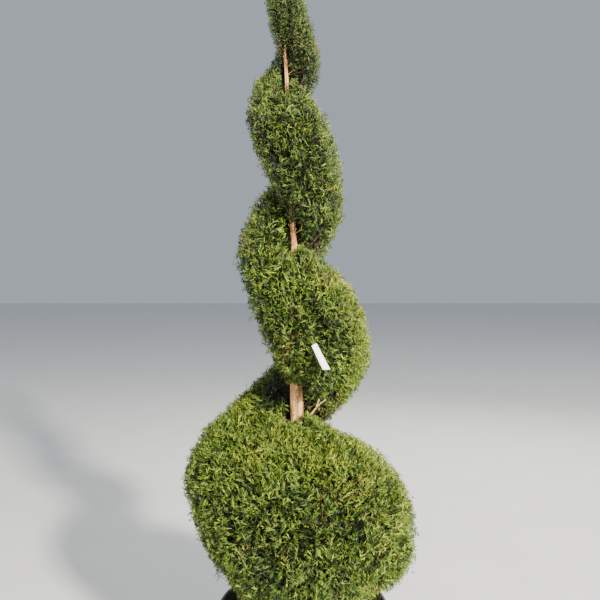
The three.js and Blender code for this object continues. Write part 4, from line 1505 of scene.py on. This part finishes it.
TWIG_BARK = bark("twig_bark", light=(0.17, 0.11, 0.06, 1), middle=(0.10, 0.06, 0.034, 1),
                 dark=(0.04, 0.024, 0.014, 1))
make_twigs(TWIG_BARK)

# %% [markdown]
# ## Stubs and a bare fork
#
# Where the grooves were cut, short stubs of the old twigs are left on the stem, and below the
# third turn a dead fork still stands out beside it. Each is a thick tube with a blunt end, made
# like the twigs, with more sides. A stub is given by its turn, then in millimetres by its height,
# its length, its rise and its radius. The places of the fork are in millimetres too.

# %% Stubs
STUBS = {
    "upper_stubs": [(0.96, 2286, 24, 14, 1.8), (1.13, 2272, 14, 5, 2.4), (1.2, 2245, 20, 16, 1.6),
                    (1.92, 1722, 22, 14, 1.6), (2.07, 1712, 16, 8, 3.0), (2.18, 1706, 34, 16, 2.2),
                    (2.03, 1668, 10, 3, 2.0)],
    "lower_stubs": [(2.86, 1186, 26, 20, 1.8), (3.05, 1184, 14, 12, 2.4), (3.16, 1130, 9, 5, 2.2),
                    (2.95, 1092, 7, 4, 2.0)],
}
FORK = {
    "foot": (20, -58, 1096), "crotch": (41, -78, 1127), "radius": 3.8,
    "ends": [((51, -84, 1157), 3.2), ((73, -82, 1155), 2.2)],
}
STUB_SEED = 6000
STUB_RINGS = 5
STUB_SIDES = 7
STUB_SAG = 0.02
STUB_TAPER = 0.7
STUB_ROOT = 0.6
STUB_COVER = 0.4


def along_stub(turn, z, length, rise, radius):
    angle = angle_at(turn)
    z *= MM
    out = np.array([math.cos(angle), math.sin(angle), 0])
    stem_radius = float(trunk_radius(z))
    foot = np.array([float(trunk_lean(z)), 0, z]) + STUB_ROOT * stem_radius * out
    end = foot + (length * MM + STUB_COVER * stem_radius) * out + np.array([0, 0, rise * MM])
    return foot, end, radius


def make_stubs(name, limbs, finish):
    random = np.random.default_rng(STUB_SEED + len(limbs))
    starts, ends, radii = (np.array(part) for part in zip(*limbs))
    lines = bent(starts, ends, STUB_RINGS, STUB_SAG, random)
    points, faces = tubes(lines, radii * MM, STUB_TAPER * radii * MM, STUB_SIDES)
    stubs = joined(name, points, faces)
    hand_over(stubs, name, finish)


DEAD_WOOD = bark("dead_wood", light=(0.78, 0.52, 0.24, 1), middle=(0.52, 0.32, 0.14, 1),
                 dark=(0.22, 0.11, 0.05, 1))
for stub_name, stub_rows in STUBS.items():
    make_stubs(stub_name, [along_stub(*row) for row in stub_rows], DEAD_WOOD)

fork_foot, fork_crotch = MM * np.array(FORK["foot"]), MM * np.array(FORK["crotch"])
fork_limbs = [(fork_foot, fork_crotch, FORK["radius"])]
fork_limbs += [(fork_crotch, MM * np.array(end), radius) for end, radius in FORK["ends"]]
make_stubs("bare_fork", fork_limbs, DEAD_WOOD)

# %% [markdown]
# ## The blank tag
#
# A grower's tag of white plastic lies on the third turn, a little askew. It is a strip with a
# narrower upper end and a lower end cut level, bowed a little and given a thin wall. It leans
# back with the foliage it lies on. Nothing is written on it.

# %% Tag
TAG_LENGTH = 86 * MM
TAG_TOP_WIDTH = 16.5 * MM
TAG_FOOT_WIDTH = 20.5 * MM
TAG_WALL = 0.7 * MM
TAG_MIDDLE = (50 * MM, -214 * MM, 1309 * MM)
TAG_TILT = math.radians(26.5)
TAG_BOW = 4 * MM
TAG_CROSS_BOW = 2 * MM
TAG_LEAN = np.array([0.3, 0.15])
TAG_CUTS = 7


def make_tag(finish):
    begin()
    bpy.ops.mesh.primitive_plane_add(size=1.0)
    tag = bpy.context.active_object
    bpy.ops.object.mode_set(mode="EDIT")
    bpy.ops.mesh.subdivide(number_cuts=TAG_CUTS)
    bpy.ops.object.mode_set(mode="OBJECT")
    points = points_of(tag)
    across, along = points[:, 0].copy(), points[:, 1].copy()
    side = across * lerp(TAG_FOOT_WIDTH, TAG_TOP_WIDTH, along + 0.5)
    up = along * TAG_LENGTH - side * math.tan(TAG_TILT) * (0.5 - along)
    points[:, 0] = side * math.cos(TAG_TILT) - up * math.sin(TAG_TILT)
    points[:, 2] = side * math.sin(TAG_TILT) + up * math.cos(TAG_TILT)
    bow = TAG_BOW * (4 * along ** 2 - 1) + TAG_CROSS_BOW * 4 * across ** 2
    points[:, 1] = bow + points[:, (0, 2)] @ TAG_LEAN
    points += np.array(TAG_MIDDLE)
    move_points(tag, points)
    only(tag)
    bpy.ops.object.modifier_add(type="SOLIDIFY")
    tag.modifiers[0].thickness = TAG_WALL
    bpy.ops.object.modifier_apply(modifier=tag.modifiers[0].name)
    outward(tag)
    hand_over(tag, "blank_tag", finish)


CLEAN_WHITE = (0.95, 0.95, 0.95, 1)
DUSTY_WHITE = (0.82, 0.81, 0.77, 1)


def tag_plastic():
    finish = Finish("tag_plastic", roughness=0.4, specular=0.5)
    dust = finish.spread(finish.grain(60.0, detail=3.0), low=0.5, high=0.8)
    finish.colour(finish.blend(dust, CLEAN_WHITE, DUSTY_WHITE))
    finish.bump(finish.grain(300.0, detail=2.0), strength=0.1, distance=0.5 * MM)
    return finish


make_tag(tag_plastic())

# %% [markdown]
# ## The dark inside
#
# A clipped crown is so dense that no light passes through it. Far inside, where the sprays give way
# to dead needles and shadow, a lumpy dark body follows the lobes a few fingers below the skin;
# its near-black colour is painted shade. It is drawn as one closed skin over loops that wind down
# with the spiral.

# %% Inner body
CORE_DEPTH = 46 * MM
CORE_SINK = 0.75
CORE_LAG = 0.08
CORE_THINS_FROM = 3.25
CORE_END_THINNING = 0.8
CORE_THINNING_TURNS = 0.2
CORE_SHARE = 0.42
CORE_FIRST_TURN = FIRST_TURN + 0.05
CORE_LAST_TURN = LAST_TURN - 0.15
CORE_STEPS = 150
CORE_POINTS = 22
CORE_INNER_POINTS = 5
CORE_WAVES = ((5 * MM, 28), (3 * MM, 80))
SMOOTH_BY_STEM = 45 * MM


def core_loop(turn):
    reach = float(lobe(turn)[2])
    depth = min(CORE_DEPTH, CORE_SHARE * (reach - float(trunk_radius(lobe(turn)[0]))))
    depth *= 1 + CORE_END_THINNING * np.clip((turn - CORE_THINS_FROM) / CORE_THINNING_TURNS, 0, 1)
    u = (1 - np.cos(np.linspace(0, math.pi, CORE_POINTS))) / 2
    top = min(lobe(turn)[0], lobe(turn + CORE_LAG)[0])
    bottom = max(lobe(turn)[1], lobe(turn - CORE_LAG)[1])
    radius, _ = skin_point(turn, u, depth)
    z = lerp(float(top) - CORE_SINK * depth, float(bottom) + CORE_SINK * depth, u)
    outer = place_at(turn, radius, z)
    inner_z = np.linspace(z[-1], z[0], CORE_INNER_POINTS + 2)[1:-1]
    inner = place_at(turn, trunk_radius(inner_z) + TRUNK_GAP, inner_z)
    return np.concatenate([outer, inner])


def make_core(finish):
    turns = np.linspace(CORE_FIRST_TURN, CORE_LAST_TURN, CORE_STEPS)
    loops = np.array([core_loop(turn) for turn in turns])
    steps, count, _ = loops.shape
    points = loops.reshape(-1, 3)
    middle = np.column_stack([trunk_lean(points[:, 2]), 0 * points[:, 0], points[:, 2]])
    lumps = sum(height * ripple(points, scale) for height, scale in CORE_WAVES)
    away = points - middle
    moved = np.where(np.linalg.norm(away, axis=1) > SMOOTH_BY_STEM, lumps, 0)
    points = points + unit(away) * moved[:, None]
    i, j = np.meshgrid(np.arange(steps - 1), np.arange(count), indexing="ij")
    k = (j + 1) % count
    faces = np.stack([i * count + j, i * count + k, (i + 1) * count + k, (i + 1) * count + j], axis=-1)
    core = joined("inner_shade", points, faces.reshape(-1, 4))
    only(core)
    bpy.ops.object.mode_set(mode="EDIT")
    bpy.ops.mesh.select_all(action="DESELECT")
    bpy.ops.mesh.select_non_manifold()
    bpy.ops.mesh.edge_face_add()
    bpy.ops.object.mode_set(mode="OBJECT")
    outward(core)
    hand_over(core, "inner_shade", finish, FOLIAGE_NODES)


# The inner body's colours are painted shade, near-black for the dark inside of the crown, where dead
# needles lie too.
DEEP_SHADE = (0.005, 0.007, 0.003, 1)
DIM_SHADE = (0.016, 0.021, 0.007, 1)


def inner_finish():
    finish = Finish("inner_shade", roughness=0.95, specular=0.0)
    clumps = finish.grain(60.0, detail=4.0, stretch=(1, 1, 0.5))
    clumps = finish.spread(clumps, low=0.4, high=0.65)
    finish.colour(finish.blend(clumps, DEEP_SHADE, DIM_SHADE))
    finish.bump(finish.grain(120.0, detail=4.0), strength=1.0, distance=10 * MM)
    return finish


make_core(inner_finish())
